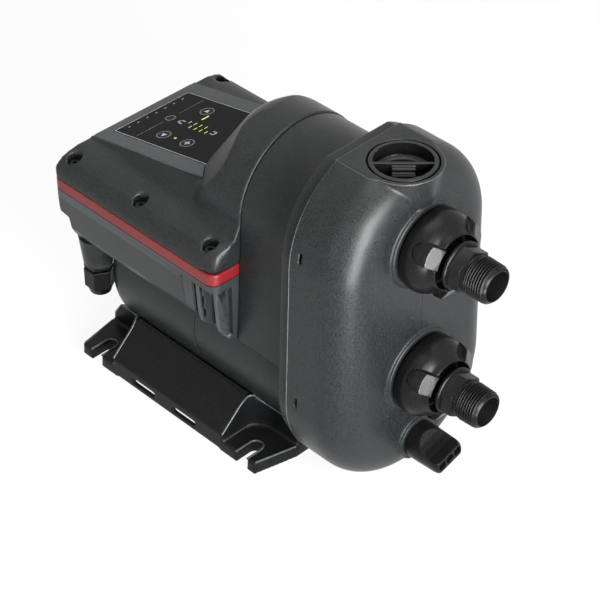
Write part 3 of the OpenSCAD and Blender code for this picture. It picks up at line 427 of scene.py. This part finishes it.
looks = {
    "housing_composite": mouldedPlastic("charcoalHousing", tone(4, 6, 7), tone(37, 40, 41),
        rough=(0.24, 0.48), size=1250, depth=0.11, strength=0.9, dust=0.05, edge=0.35, specular=0.23),
    "black_composite": mouldedPlastic("blackFittings", tone(7, 7, 8), tone(13, 13, 14),
        rough=(0.24, 0.36), size=1000, depth=0.05, dust=0.02, edge=0.2, specular=0.14),
    "stainless": metalFinish("stainlessSteel", tone(196, 198, 200), stretch=(0.2, 1, 1)),
    "bracket_aluminium": metalFinish("castAluminium", tone(176, 178, 180), rough=(0.4, 0.55), size=600),
    "lamination_steel": metalFinish("laminationSteel", tone(120, 122, 126),
        rough=(0.35, 0.5), stretch=(6, 0.2, 0.2)),
    "winding_copper": metalFinish("copperWire", tone(176, 96, 52), rough=(0.25, 0.4), stretch=(3, 0.3, 0.3)),
    "seat_ceramic": mouldedPlastic("seatCeramic", tone(226, 222, 210), tone(238, 236, 228),
        rough=(0.15, 0.25), dust=0.05),
    "stage_plastic": mouldedPlastic("stagePlastic", tone(222, 222, 216), tone(234, 234, 230),
        rough=(0.35, 0.5), dust=0.05),
    "seal_rubber": mouldedPlastic("sealRubber", tone(24, 24, 25), tone(34, 34, 35),
        rough=(0.6, 0.8), dust=0.15),
    "tank_paint": mouldedPlastic("tankPaint", tone(150, 30, 28), tone(166, 36, 32),
        rough=(0.25, 0.4), size=500, dust=0.1),
    "sensor_brass": metalFinish("sensorBrass", tone(196, 160, 90)),
    "band_red": mouldedPlastic("sealBandRed", tone(88, 8, 12), tone(108, 12, 17),
        rough=(0.36, 0.5), size=900, dust=0.03, edge=0.08, specular=0.4),
    "board_green": mouldedPlastic("boardGreen", tone(24, 84, 52), tone(30, 96, 60),
        rough=(0.25, 0.4), dust=0.02),
    "bezel_grey": mouldedPlastic("bezelGrey", tone(50, 53, 55), tone(76, 79, 81),
        rough=(0.45, 0.6), size=1200, depth=0.05, dust=0.05, specular=0.3),
    "display_black": mouldedPlastic("windowGloss", tone(4, 5, 6), tone(6, 7, 8),
        rough=(0.12, 0.18), size=300, depth=0.005, strength=0.1, dust=0.01, edge=0.0, specular=0.03),
    "key_black": mouldedPlastic("keyGloss", tone(6, 7, 8), tone(9, 10, 11),
        rough=(0.18, 0.26), size=400, depth=0.01, strength=0.2, dust=0.01, edge=0.0, specular=0.05),
}

# pieces whose finish differs from that of their slot
ownLooks = {
    "base_plate": mouldedPlastic("blackBase", tone(5, 6, 7), tone(20, 21, 22),
        rough=(0.3, 0.46), size=900, depth=0.12, strength=0.9, dust=0.02, edge=0.5, specular=0.11),
    "upper_clamp_ring": mouldedPlastic("darkClamp", tone(12, 12, 13), tone(17, 17, 18),
        rough=(0.4, 0.5), dust=0.02),
    "priming_plug": mouldedPlastic("plugBlack", tone(10, 11, 12), tone(20, 21, 22),
        rough=(0.26, 0.4), size=1000, depth=0.04, dust=0.03, edge=0.5, specular=0.34),
    "cover_screws": metalFinish("darkScrewSteel", tone(70, 72, 74), rough=(0.35, 0.5)),
}
ownLooks["lower_clamp_ring"] = ownLooks["upper_clamp_ring"]
ownLooks["head_screws"] = ownLooks["cover_screws"]

# thin trim in lighter tones, which are painted highlights along lips, rims, ribs, tabs and pads
rimHighlightLook = mouldedPlastic("rimsPaintedHighlight", tone(34, 36, 37), tone(60, 62, 63),
    rough=(0.24, 0.36), size=1000, depth=0.03, dust=0.02, edge=0.4, specular=0.5)
lipHighlightLook = mouldedPlastic("lipsPaintedHighlight", tone(66, 69, 71), tone(100, 103, 105),
    rough=(0.24, 0.36), size=1000, depth=0.03, dust=0.02, edge=0.3, specular=0.5)
ribHighlightLook = mouldedPlastic("ribsPaintedHighlight", tone(26, 28, 29), tone(52, 55, 56),
    rough=(0.26, 0.4), size=1000, depth=0.04, dust=0.02, edge=0.3, specular=0.5)
padHighlightLook = mouldedPlastic("padsPaintedHighlight", tone(34, 36, 37), tone(46, 48, 50),
    rough=(0.3, 0.4), size=1000, depth=0.01, strength=0.3, dust=0.02, edge=0.1, specular=0.3)


def lookOf(node):
    return ownLooks.get(node, looks[slotOfNode[node]])


for node, piece in frame["nodes"].items():
    piece.data.materials.clear()
    piece.data.materials.append(lookOf(node))


print("stage: housings")


# smooths a piece where its vertices have a share, and the more the larger that is
def smoothWhere(piece, name, rounds, shareOf):
    group = piece.vertex_groups.new(name=name)
    for v in piece.data.vertices:
        share = shareOf(*placeOf(v))
        if share > 0:
            group.add([v.index], share, "REPLACE")
    applyModifier(piece, "SMOOTH", factor=0.5, iterations=rounds, vertex_group=name)
    piece.vertex_groups.clear()


panel = {"tilt": 11.5, "z0": 206.0, "x0": 7.0, "lift": -0.06, "printThick": 0.08}
valley = {"flankY": (57.5, 61), "outerY": (76, 80), "rearX": (9, 14), "frontX": (184, 190),
    "footZ": (177, 181), "wedgeY": 66, "belowPanel": (3, 7), "rounds": 170}
boxCorner = {"x": (180, 187), "y": (77, 84), "z": (180, 184), "centre": (181.5, 84), "radius": (7.2, 9),
    "rounds": 220}


def panelZ(x):
    return panel["z0"] + (x - panel["x0"]) * math.tan(math.radians(panel["tilt"]))


def valleyShare(x, y, z):
    y = abs(y)
    share = rise(y, *valley["flankY"]) * fall(y, *valley["outerY"])
    share = share * rise(x, *valley["rearX"]) * fall(x, *valley["frontX"]) * rise(z, *valley["footZ"])
    if y < valley["wedgeY"]:
        share *= rise(panelZ(x) - z, *valley["belowPanel"])
    return share


def cornerShare(x, y, z):
    y = abs(y)
    away = math.hypot(x - boxCorner["centre"][0], y - boxCorner["centre"][1])
    return (rise(x, *boxCorner["x"]) * rise(y, *boxCorner["y"]) * rise(z, *boxCorner["z"])
        * rise(away, *boxCorner["radius"]))


# the flank of the display wedge and the foot of the hump run softly into the shelf
def smoothValley(piece, plan):
    smoothWhere(piece, "valley", valley["rounds"], valleyShare)
    smoothWhere(piece, "corner", boxCorner["rounds"], cornerShare)


gripPads = {"turns": (57, 177, 297), "front": (364.2, 23.2), "back": (357.8, 33.4), "rangeX": (356, 364.5),
    "innerR": 23, "match": 0.975, "out": 0.12, "thick": 0.3}


def lugOut(turn):
    return Vector((0, -math.sin(math.radians(turn)), math.cos(math.radians(turn))))


def lugSlope(turn):
    run, drop = gripPads["front"][0] - gripPads["back"][0], gripPads["back"][1] - gripPads["front"][1]
    return (Vector((drop, 0, 0)) + lugOut(turn) * run).normalized()


# slants the front of each grip lug, as a cut by three planes
def slantPads(piece, plan):
    frontX, frontR = gripPads["front"]
    pick(piece)
    bpy.ops.object.mode_set(mode="EDIT")
    for turn in gripPads["turns"]:
        bpy.ops.mesh.select_all(action="SELECT")
        bpy.ops.mesh.bisect(plane_co=spot(frontX, 0, plan["axisZ"]) + lugOut(turn) * frontR * mm,
            plane_no=lugSlope(turn), use_fill=True, clear_outer=True)
    bpy.ops.object.mode_set(mode="OBJECT")


bell = {"coreR": 24.5, "frontX": (360.6, 362.2), "rearX": (335.6, 337.5), "besideLug": (9.6, 12),
    "lugX": (342, 344), "rounds": 60}


def bellShare(x, y, z):
    r = math.hypot(y, z)
    if r < bell["coreR"]:
        return 0
    turn = math.degrees(math.atan2(-y, z)) % 360
    away = min(abs((turn - lug + 180) % 360 - 180) for lug in gripPads["turns"])
    freeOfLugs = max(rise(math.radians(away) * r, *bell["besideLug"]), fall(x, *bell["lugX"]))
    return fall(x, *bell["frontX"]) * rise(x, *bell["rearX"]) * freeOfLugs


# the bell is one even curve, apart from its lugs and rims
def smoothBell(piece, plan):
    smoothWhere(piece, "bell", bell["rounds"], lambda x, y, z: bellShare(x, y, z - plan["axisZ"]))


baseLugs = {"alongX": (68, 74), "outY": (50, 58), "aboveFloor": (1.5, 4), "rounds": 22}


def lugShare(x, y, z):
    return (rise(abs(x - baseMiddleX), *baseLugs["alongX"]) * rise(abs(y), *baseLugs["outY"])
        * rise(z, *baseLugs["aboveFloor"]))


# the lugs of the base are rounded more than its middle
def smoothLugs(piece, plan):
    smoothWhere(piece, "lugs", baseLugs["rounds"], lugShare)


plugBore = {"footZ": 272, "radius": 25.6, "thickened": 23.4, "near": 0.4}
plugCup = {"topZ": 302, "innerR": 20.4, "outerR": 22.9, "floor": -13.6, "wallFrom": -11.5, "thinnedBy": 2.3}


# distances from the axis of the priming plug
def radiusAtPlug(v):
    x, y, z = placeOf(v)
    return math.hypot(x - plugX, y)


def moveToRadius(v, target):
    x, y, z = placeOf(v)
    out, r = x - plugX, radiusAtPlug(v)
    v.co.x, v.co.y = (out * target / r + plugX - originX) * mm, y * target / r * mm


# a thicker wall at the foot of the plug's bore
def thickenBore(piece, plan):
    for v in piece.data.vertices:
        atFoot = abs(v.co.z / mm - plugBore["footZ"]) < plugBore["near"]
        if atFoot and abs(radiusAtPlug(v) - plugBore["radius"]) < plugBore["near"]:
            moveToRadius(v, plugBore["thickened"])


# the cup of the plug has a thin wall
def thinCup(piece, plan):
    for v in piece.data.vertices:
        z, r = v.co.z / mm - plugCup["topZ"], radiusAtPlug(v)
        if plugCup["innerR"] < r < plugCup["outerR"] and plugCup["floor"] < z:
            moveToRadius(v, r + plugCup["thinnedBy"] * rise(z, plugCup["floor"], plugCup["wallFrom"]))


# cut is done before the surface is remade, and finish after it
housingPieces = {
    "front_cover": {"name": "frontCoverMoulding", "voxel": 1.0, "rounds": 2, "cut": thickenBore},
    "control_box_cover": {"name": "boxCoverMoulding", "voxel": 1.1, "rounds": 4, "finish": smoothValley},
    "pump_body": {"name": "pumpBodyMoulding", "voxel": 1.1, "rounds": 2},
    "motor_shroud": {"name": "shroudMoulding", "voxel": 1.0, "rounds": 3},
    "motor_casing": {"name": "motorPot", "voxel": 1.3, "rounds": 3},
    "base_plate": {"name": "basePlateMoulding", "voxel": 1.0, "rounds": 9, "finish": smoothLugs},
    "seal_band": {"name": "redSealBand", "voxel": 0.9, "rounds": 3},
    "priming_plug": {"name": "primingPlugMoulding", "voxel": 0.6, "rounds": 3, "finish": thinCup},
    "drain_plug": {"name": "drainPlugMoulding", "voxel": 0.5, "rounds": 3},
    "upper_union_nut": {"name": "upperNutMoulding", "voxel": 0.5, "rounds": 3, "axisZ": 237,
        "cut": slantPads, "finish": smoothBell},
    "lower_union_nut": {"name": "lowerNutMoulding", "voxel": 0.5, "rounds": 3, "axisZ": 113,
        "cut": slantPads, "finish": smoothBell},
    "gland_body": {"name": "glandBodyMoulding", "voxel": 0.4, "rounds": 2},
    "gland_nut": {"name": "glandNutMoulding", "voxel": 0.4, "rounds": 2},
    "display_bezel": {"name": "bezelMoulding", "voxel": 0.8, "rounds": 2},
}


# a solid with its edges softened, as a mould leaves them
def softened(node, name):
    plan = housingPieces[node]
    piece = copyOfNode(node, name)
    if "cut" in plan:
        plan["cut"](piece, plan)
    applyModifier(piece, "REMESH", mode="VOXEL", voxel_size=plan["voxel"] * mm, use_smooth_shade=True)
    applyModifier(piece, "SMOOTH", factor=0.5, iterations=plan["rounds"])
    count = triangles(piece)
    if count > mostTriangles:
        applyModifier(piece, "DECIMATE", ratio=mostTriangles / count)
    pick(piece)
    bpy.ops.object.shade_smooth()
    return piece


for node, plan in housingPieces.items():
    piece = softened(node, plan["name"])
    if "finish" in plan:
        plan["finish"](piece, plan)
    standFor(piece, lookOf(node), node)
    print("  ", plan["name"], triangles(piece))


print("stage: grip pads")


# the slanted pads of a nut get a thin skin each, in a lighter tone that is a painted highlight
def padSkin(node, name):
    skin = softened(node, name)
    pick(skin)
    bpy.ops.object.mode_set(mode="EDIT")
    bpy.ops.mesh.select_mode(type="FACE")
    bpy.ops.mesh.select_all(action="DESELECT")
    bpy.ops.object.mode_set(mode="OBJECT")
    rearX, frontX = gripPads["rangeX"]
    slopes = [lugSlope(turn) for turn in gripPads["turns"]]
    for face in skin.data.polygons:
        x = face.center.x / mm + originX
        r = math.hypot(face.center.y, face.center.z - housingPieces[node]["axisZ"] * mm) / mm
        onLug = rearX < x < frontX and r > gripPads["innerR"]
        face.select = not (onLug and any(face.normal.dot(slope) > gripPads["match"] for slope in slopes))
    bpy.ops.object.mode_set(mode="EDIT")
    bpy.ops.mesh.delete(type="FACE")
    bpy.ops.object.mode_set(mode="OBJECT")
    for v in skin.data.vertices:
        v.co += v.normal * gripPads["out"] * mm
    applyModifier(skin, "SOLIDIFY", thickness=gripPads["thick"] * mm, offset=-1)
    shadeSoft(skin, 40)
    # the lighter skin paints the pads' highlight
    addTo(node, skin, padHighlightLook)
    print("  ", name, triangles(skin))


padSkin("upper_union_nut", "upperNutPads")
padSkin("lower_union_nut", "lowerNutPads")


print("stage: base trim")
baseForm = {"topZ": 46, "edgeY": 93.5, "edgeZ": 22, "flankRise": 24, "flankRun": 26.5, "footY": 96.5,
    "footZ": 19, "motorZ": 85.0, "motorR": 74.2, "middleX": 134.5, "endFrom": 97.5, "endZ": 50,
    "endFall": 30, "endRun": 17, "lugTop": 12.0}


# height of the base plate's upper side
def baseTopZ(x, y):
    y = abs(y)
    if y < baseForm["edgeY"]:
        flank = baseForm["edgeZ"] + (baseForm["edgeY"] - y) * baseForm["flankRise"] / baseForm["flankRun"]
    else:
        flank = baseForm["footZ"] + (baseForm["footY"] - y)
    height = min(baseForm["topZ"], flank)
    if y < baseForm["motorR"]:
        height = min(height, baseForm["motorZ"] - math.sqrt(baseForm["motorR"] ** 2 - y * y))
    pastEnd = abs(x - baseForm["middleX"]) - baseForm["endFrom"]
    return min(height, baseForm["endZ"] - pastEnd * baseForm["endFall"] / baseForm["endRun"])


def bead(points, radius):
    data = bpy.data.curves.new("bead", "CURVE")
    data.dimensions = "3D"
    data.bevel_depth = radius * mm
    data.bevel_resolution = 3
    data.use_fill_caps = True
    line = data.splines.new("POLY")
    line.points.add(len(points) - 1)
    for point, (x, y, z) in zip(line.points, points):
        point.co = (*spot(x, y, z), 1)
    item = bpy.data.objects.new("bead", data)
    bpy.context.scene.collection.objects.link(item)
    pick(item)
    bpy.ops.object.convert(target="MESH")
    return bpy.context.object


# recesses are drawn for the front lug at one side, and mirrored to the others
recess = {"centre": (223, -76), "radius": 21, "edgeY": -96.0, "step": 2.0, "endStep": 2.5}
notch = {"fromMiddle": 92, "radius": 6.5, "centreY": -80}
lugEdges = {1: ((239.6, -94.2), (249.1, -57)), -1: ((23.8, -94.2), (17.2, -57))}
baseBeads = {"topIn": -0.3, "topSunk": 0.35, "topRadius": 0.9, "footOut": 0.9, "footUp": 0.1,
    "footRadius": 0.8, "notchSunk": 0.2, "notchRadius": 0.9, "lugRadius": 0.8}
topBead = {"x": (66, 202), "step": 5, "y": 65.2, "z": 45.4, "radius": 1.5}


def recessPath(offset, sideX, sideY, heightOf):
    centreX, centreY = recess["centre"]
    startX, endY, inner = centreX - recess["radius"], centreY + recess["radius"], recess["radius"] - offset
    turns = [math.radians(degrees) for degrees in range(6, 91, 6)]
    plan = [(startX + offset, recess["edgeY"] + i * recess["step"]) for i in range(11)]
    plan += [(centreX - inner * math.cos(turn), centreY + inner * math.sin(turn)) for turn in turns]
    plan += [(centreX + i * recess["endStep"], endY - offset) for i in range(1, 10)]
    path = []
    for x, y in plan:
        x = baseMiddleX + sideX * (x - baseMiddleX)
        path.append((x, sideY * -y, heightOf(x, y)))
    return path


def notchPlan(sideX):
    x, y, radius = baseMiddleX + sideX * notch["fromMiddle"], notch["centreY"], notch["radius"]
    turns = [math.radians(degrees) for degrees in range(15, 180, 15)]
    plan = [(x - radius, recess["edgeY"]), (x - radius, y)]
    plan += [(x - radius * math.cos(turn), y + radius * math.sin(turn)) for turn in turns]
    return plan + [(x + radius, y), (x + radius, recess["edgeY"])]


def aboveLug(x, y):
    return baseForm["lugTop"] + baseBeads["footUp"]


def sunkInTop(x, y):
    return baseTopZ(x, y) - baseBeads["topSunk"]


beads = []
for sideX in (-1, 1):
    for sideY in (-1, 1):
        beads.append(bead(recessPath(baseBeads["topIn"], sideX, sideY, sunkInTop), baseBeads["topRadius"]))
        beads.append(bead(recessPath(baseBeads["footOut"], sideX, sideY, aboveLug), baseBeads["footRadius"]))
        lugZ = baseForm["lugTop"] - baseBeads["notchSunk"]
        beads.append(bead([(x, sideY * -y, lugZ) for x, y in notchPlan(sideX)], baseBeads["notchRadius"]))
        beads.append(bead([(x, sideY * -y, lugZ) for x, y in lugEdges[sideX]], baseBeads["lugRadius"]))
# beads along the recesses and lugs, in a lighter tone that paints their highlight
addTrim("base_plate", beads, "basePlateBeads", rimHighlightLook, 50)
topPaths = [[(x, sideY * topBead["y"], topBead["z"]) for x in range(*topBead["x"], topBead["step"])]
    for sideY in (-1, 1)]
topBeads = [bead(path, topBead["radius"]) for path in topPaths]
addTrim("base_plate", topBeads, "baseTopBeads", ownLooks["base_plate"], 50)


print("stage: flange lips")
lips = {"radius": 0.5, "sunk": 0.9955, "middleZ": 150, "behindGasket": 0.9, "plateauZ": 301.4,
    "plateauRadius": 0.4}


def widthOf(piece):
    across = [v.co.y for v in piece.data.vertices] or [0]
    return max(across) - min(across)


# a bead along the widest outline that a plane cuts from a solid
def outlineBead(node, spotOnPlane, across, radius):
    ring = copyOfNode(node, "lip")
    pick(ring)
    bpy.ops.object.mode_set(mode="EDIT")
    bpy.ops.mesh.select_all(action="SELECT")
    bpy.ops.mesh.bisect(plane_co=spotOnPlane, plane_no=across, clear_inner=True, clear_outer=True)
    bpy.ops.mesh.select_all(action="SELECT")
    bpy.ops.mesh.remove_doubles(threshold=0.0002)
    bpy.ops.mesh.separate(type="LOOSE")
    bpy.ops.object.mode_set(mode="OBJECT")
    rings = sorted(bpy.context.selected_objects, key=widthOf)
    keep = rings.pop()
    for other in rings:
        bpy.data.objects.remove(other)
    middleZ = lips["middleZ"] * mm
    for v in keep.data.vertices:
        v.co.y *= lips["sunk"]
        v.co.z = middleZ + (v.co.z - middleZ) * (lips["sunk"] if across[0] else 1)
    pick(keep)
    bpy.ops.object.convert(target="CURVE")
    lip = bpy.context.object
    lip.data.bevel_depth = radius * mm
    lip.data.bevel_resolution = 2
    bpy.ops.object.convert(target="MESH")
    return bpy.context.object


gasketLow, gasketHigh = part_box("head_gasket")
behindX, aheadX = gasketLow[0] - lips["behindGasket"] * mm, gasketHigh[0] + lips["behindGasket"] * mm
flangeLips = [outlineBead("pump_body", (behindX, 0, 0), (1, 0, 0), lips["radius"]),
    outlineBead("front_cover", (aheadX, 0, 0), (1, 0, 0), lips["radius"])]
# the flange lips, in a light tone that paints their highlight lines
addTrim("front_cover", flangeLips, "flangeLips", lipHighlightLook, 60)
# the plateau's outline, in a lighter tone that paints its highlight
plateauLip = outlineBead("front_cover", (0, 0, lips["plateauZ"] * mm), (0, 0, 1), lips["plateauRadius"])
addTrim("front_cover", [plateauLip], "plateauLip", rimHighlightLook, 60)


print("stage: box ribs")
boxRibs = {"at": ((170, 174), (191, 195)), "round": 1.3,
    "outline": ((92.2, 164), (91.4, 150), (90.0, 129), (88.2, 121), (84, 116), (77.5, 114.5), (77.5, 164))}
skirtEnd = {"from": 153.0, "to": 167.5,
    "outline": ((93.3, 164), (93.2, 158), (90.3, 130), (87.3, 123), (79.2, 113.2), (77, 113.2), (77, 164))}


# an outline in the cross plane, extruded along the box
def crossSlab(outline, side, start, end, rounding):
    deselectAll()
    bpy.ops.mesh.primitive_circle_add(vertices=len(outline), radius=mm, fill_type="NGON")
    slab = bpy.context.object
    for v, (y, z) in zip(slab.data.vertices, outline):
        v.co = spot(start, side * y, z)
    bpy.ops.object.mode_set(mode="EDIT")
    bpy.ops.mesh.select_all(action="SELECT")
    bpy.ops.mesh.extrude_region_move(TRANSFORM_OT_translate={"value": ((end - start) * mm, 0, 0)})
    bpy.ops.mesh.select_all(action="SELECT")
    bpy.ops.mesh.normals_make_consistent(inside=False)
    bpy.ops.object.mode_set(mode="OBJECT")
    if rounding:
        applyModifier(slab, "BEVEL", width=rounding * mm, segments=3, limit_method="ANGLE",
            angle_limit=math.radians(30))
    return slab


ribs = [crossSlab(boxRibs["outline"], side, start, end, boxRibs["round"]) for side in (-1, 1)
    for start, end in boxRibs["at"]]
# the ribs, in a lighter tone that paints their lit faces
addTrim("control_box_base", ribs, "boxRibs", ribHighlightLook, 50)
skirtEnds = [crossSlab(skirtEnd["outline"], side, skirtEnd["from"], skirtEnd["to"], 0) for side in (-1, 1)]
addTrim("control_box_base", skirtEnds, "boxSkirtEnds", looks["housing_composite"], 30)


print("stage: cable tabs")
cableTab = {"x": 192.0, "y": 79.4, "z": 113.6, "size": (11, 4.6, 4.6), "round": 1.7}
partingLine = {"at": (329.8, 1.5, 175), "size": (0.16, 0.5, 46), "round": 0.06}
tabs = []
for side in (-1, 1):
    tabPlace = Matrix.Translation(spot(cableTab["x"], side * cableTab["y"], cableTab["z"]))
    tabs.append(block(tabPlace, cableTab["size"], cableTab["round"], 4))
seam = block(Matrix.Translation(spot(*partingLine["at"])), partingLine["size"], partingLine["round"], 2)
seam.name = "coverPartingLine"
addTo("front_cover", seam, ownLooks["base_plate"])
# the cable tabs, in a lighter tone that paints their highlight
addTrim("control_box_base", tabs, "boxBaseTabs", rimHighlightLook, 40)


print("stage: nipples")
nipple = {"threadStart": 382.4, "end": 403.2, "pitch": 2.309, "depth": 1.45, "crest": 16.9, "boreR": 13.2,
    "leastR": 13.3, "clear": 0.3, "taper": 1 / 32, "edge": 0.5, "sunk": 0.25, "firstTurn": 1.0,
    "lastTurn": 1.5, "fadeIn": (-1.2, 2.0), "fadeOut": (-2.4, 0.6), "leastHeight": 0.25}
threadProfile = ((-1.12, 0), (-0.28, 1.42), (-0.12, 1.6), (0.12, 1.6), (0.28, 1.42), (1.12, 0))


# the end of the solid is turned down to the root of the thread
def nippleCore(node, name, axisZ):
    core = copyOfNode(node, name)
    for v in core.data.vertices:
        x, y, z = placeOf(v)
        z -= axisZ
        r = math.hypot(y, z)
        if x > nipple["threadStart"] + nipple["clear"] and r > nipple["boreR"]:
            target = max(nipple["leastR"], r - nipple["depth"])
            v.co.y, v.co.z = y * target / r * mm, (z * target / r + axisZ) * mm
    applyModifier(core, "BEVEL", width=nipple["edge"] * mm, segments=2, limit_method="ANGLE",
        angle_limit=math.radians(38))
    return core


# a taper thread that starts and ends softly
def nippleThread(axisZ):
    turns = int((nipple["end"] - nipple["threadStart"] - nipple["lastTurn"]) / nipple["pitch"])
    deselectAll()
    bpy.ops.mesh.primitive_circle_add(vertices=len(threadProfile), radius=mm, fill_type="NOTHING",
        location=(0, 0, 0))
    thread = bpy.context.object
    rootR = nipple["crest"] - nipple["depth"] - nipple["sunk"]
    for v, (along, height) in zip(thread.data.vertices, threadProfile):
        v.co = Vector((along * mm, 0, (rootR + height) * mm))
    applyModifier(thread, "SCREW", axis="X", angle=2 * math.pi, screw_offset=nipple["pitch"] * mm,
        iterations=turns, steps=56, render_steps=56, use_merge_vertices=False, use_normal_calculate=True)
    pick(thread)
    bpy.ops.object.mode_set(mode="EDIT")
    bpy.ops.mesh.select_all(action="DESELECT")
    bpy.ops.mesh.select_mode(type="EDGE")
    bpy.ops.mesh.select_non_manifold(extend=False)
    bpy.ops.mesh.edge_face_add()
    bpy.ops.mesh.select_all(action="SELECT")
    bpy.ops.mesh.normals_make_consistent(inside=False)
    bpy.ops.object.mode_set(mode="OBJECT")
    length = turns * nipple["pitch"]
    for v in thread.data.vertices:
        x = v.co.x / mm
        r = math.hypot(v.co.y, v.co.z) / mm
        fade = rise(x, *nipple["fadeIn"]) * fall(x - length, *nipple["fadeOut"])
        height = nipple["leastHeight"] + (1 - nipple["leastHeight"]) * fade
        newR = rootR + (r - rootR) * height - x * nipple["taper"]
        v.co.y, v.co.z = v.co.y * newR / r, v.co.z * newR / r + axisZ * mm
        v.co.x += spot(nipple["threadStart"] + nipple["firstTurn"], 0, 0).x
    return thread


def threadedNipple(node, name, axisZ):
    piece = joinAll([nippleCore(node, name, axisZ), nippleThread(axisZ)], name)
    shadeSoft(piece, 30)
    standFor(piece, looks["black_composite"], node)


threadedNipple("upper_nipple", "upperThreadedNipple", housingPieces["upper_union_nut"]["axisZ"])
threadedNipple("lower_nipple", "lowerThreadedNipple", housingPieces["lower_union_nut"]["axisZ"])


print("stage: display")


# a place on the sloping panel
def onPanel(x, y, turn=0):
    tilted = Matrix.Translation(spot(x, y, panelZ(x))) @ Matrix.Rotation(-math.radians(panel["tilt"]), 4, "Y")
    lifted = tilted @ Matrix.Translation((0, 0, panel["lift"] * mm))
    return lifted @ Matrix.Rotation(math.radians(turn), 4, "Z")


def printedBar(x, y, length, width, turn=0):
    return block(onPanel(x, y, turn), (length, width, panel["printThick"]), min(length, width) * 0.3, 2)


def printedRing(x, y, radius, width):
    deselectAll()
    bpy.ops.mesh.primitive_torus_add(major_radius=radius * mm, minor_radius=width / 2 * mm,
        major_segments=48, minor_segments=8)
    ring = bpy.context.object
    ring.matrix_world = onPanel(x, y) @ Matrix.Diagonal((1, 1, panel["printThick"] / width, 1))
    settle(ring)
    return ring


def printedShape(x, y, sides, radius, turn=0):
    deselectAll()
    bpy.ops.mesh.primitive_cylinder_add(vertices=sides, radius=radius * mm, depth=panel["printThick"] * mm)
    shape = bpy.context.object
    shape.matrix_world = onPanel(x, y, turn)
    settle(shape)
    return shape


printGrain = {"size": 2500, "dark": 0.85, "rough": (0.3, 0.45)}


def printLook(name, colour, glow=0.0):
    look, tree, shader = newLook(name)
    speckle = placeGroup(tree, grainGroup, Size=printGrain["size"]).outputs["Speckle"]
    mottled = mixColour(tree, speckle, colour, tinted(colour, printGrain["dark"]))
    tree.links.new(mottled, shader.inputs["Base Color"])
    tree.links.new(ramp(tree, speckle, *glossRange, *printGrain["rough"]), shader.inputs["Roughness"])
    if glow:
        shader.inputs["Emission Color"].default_value = colour
        shader.inputs["Emission Strength"].default_value = glow
    return look


whitePrint = printLook("whitePrint", tone(205, 208, 210))
greyPrint = printLook("greyPrint", tone(128, 131, 134))
linePrint = printLook("linePrint", tone(190, 194, 197))
limeLamp = printLook("limeLamp", tone(206, 222, 90), 0.5)
yellowLamp = printLook("yellowLamp", tone(200, 206, 60), 0.6)


def layPrint(pieces, name, look, node="display_window"):
    addTo(node, joinAll(pieces, name), look)


# each key carries its own ring and symbol, and they go down with it
keyPrints = {
    "key_up": {"at": (61, 24.4), "ring": 6.0, "name": "keyUp"},
    "key_down": {"at": (42.5, -0.4), "ring": 4.1, "name": "keyDown"},
    "key_start": {"at": (61, -24.2), "ring": 6.0, "name": "keyStart"},
    "key_reset": {"at": (90, -24.2), "ring": 6.0, "name": "keyReset"},
}
keySymbols = {"ringWidth": 0.75, "triangle": 3.0, "cross": (5.4, 1.3)}
for node, key in keyPrints.items():
    ring = printedRing(*key["at"], key["ring"], keySymbols["ringWidth"])
    layPrint([ring], key["name"] + "Ring", greyPrint, node)
for node, turn in (("key_up", 0), ("key_start", 180)):
    layPrint([printedShape(*keyPrints[node]["at"], 3, keySymbols["triangle"], turn)],
        keyPrints[node]["name"] + "Symbol", whitePrint, node)
layPrint([printedBar(*keyPrints["key_reset"]["at"], *keySymbols["cross"], turn) for turn in (0, 90)],
    "keyResetSymbol", whitePrint, "key_reset")

# places on the window, and bars as place and turn
windowPrints = {
    "dividers": ((42.5, -23.2, 29.5), (42.5, 23.1, 28.3)),
    "dividerWidth": 0.35,
    "outline": {"x": 76, "y": 41.2, "length": 117, "rearX": 18.6, "rearLength": 82.5, "width": 0.6},
    "dots": {"x": 24, "y": range(-30, 31, 10), "size": (1.9, 0.8)},
    "segments": ((54.0, -0.6, 90), (57.2, 1.8, 0), (57.2, -2.6, 0), (63.5, 2.9, 90), (95.6, 1.6, 0),
        (98.2, -0.6, 90), (95.6, -2.8, 0)),
    "segmentSize": (4.0, 1.0),
    "limeBar": {"at": (68.9, 15.1), "size": (8.0, 1.6)},
    "limeDashes": [(x, y) for x in (70, 76.5, 83) for y in (3, -3)] + [(89.5, -3)],
    "limeSize": (4.0, 0.8),
    "lamps": ((74.5, -23.5), (115.5, 1.6)),
    "lampRadius": 1.2,
}
dividers = [printedBar(x, y, length, windowPrints["dividerWidth"], 90)
    for x, y, length in windowPrints["dividers"]]
layPrint(dividers, "panelGreyPrint", greyPrint)
outline = windowPrints["outline"]
sideLines = [printedBar(outline["x"], side * outline["y"], outline["length"], outline["width"])
    for side in (-1, 1)]
rearLine = printedBar(outline["rearX"], 0, outline["rearLength"], outline["width"], 90)
layPrint(sideLines + [rearLine], "panelOutlinePrint", linePrint)
dots = [printedBar(windowPrints["dots"]["x"], y, *windowPrints["dots"]["size"], 90)
    for y in windowPrints["dots"]["y"]]
segments = [printedBar(x, y, *windowPrints["segmentSize"], turn) for x, y, turn in windowPrints["segments"]]
layPrint(dots + segments, "panelWhitePrint", whitePrint)
limeBar = printedBar(*windowPrints["limeBar"]["at"], *windowPrints["limeBar"]["size"], 90)
limeDashes = [printedBar(x, y, *windowPrints["limeSize"], 90) for x, y in windowPrints["limeDashes"]]
layPrint([limeBar] + limeDashes, "panelLimeLamps", limeLamp)
layPrint([printedShape(x, y, 20, windowPrints["lampRadius"]) for x, y in windowPrints["lamps"]],
    "panelRoundLamps", yellowLamp)
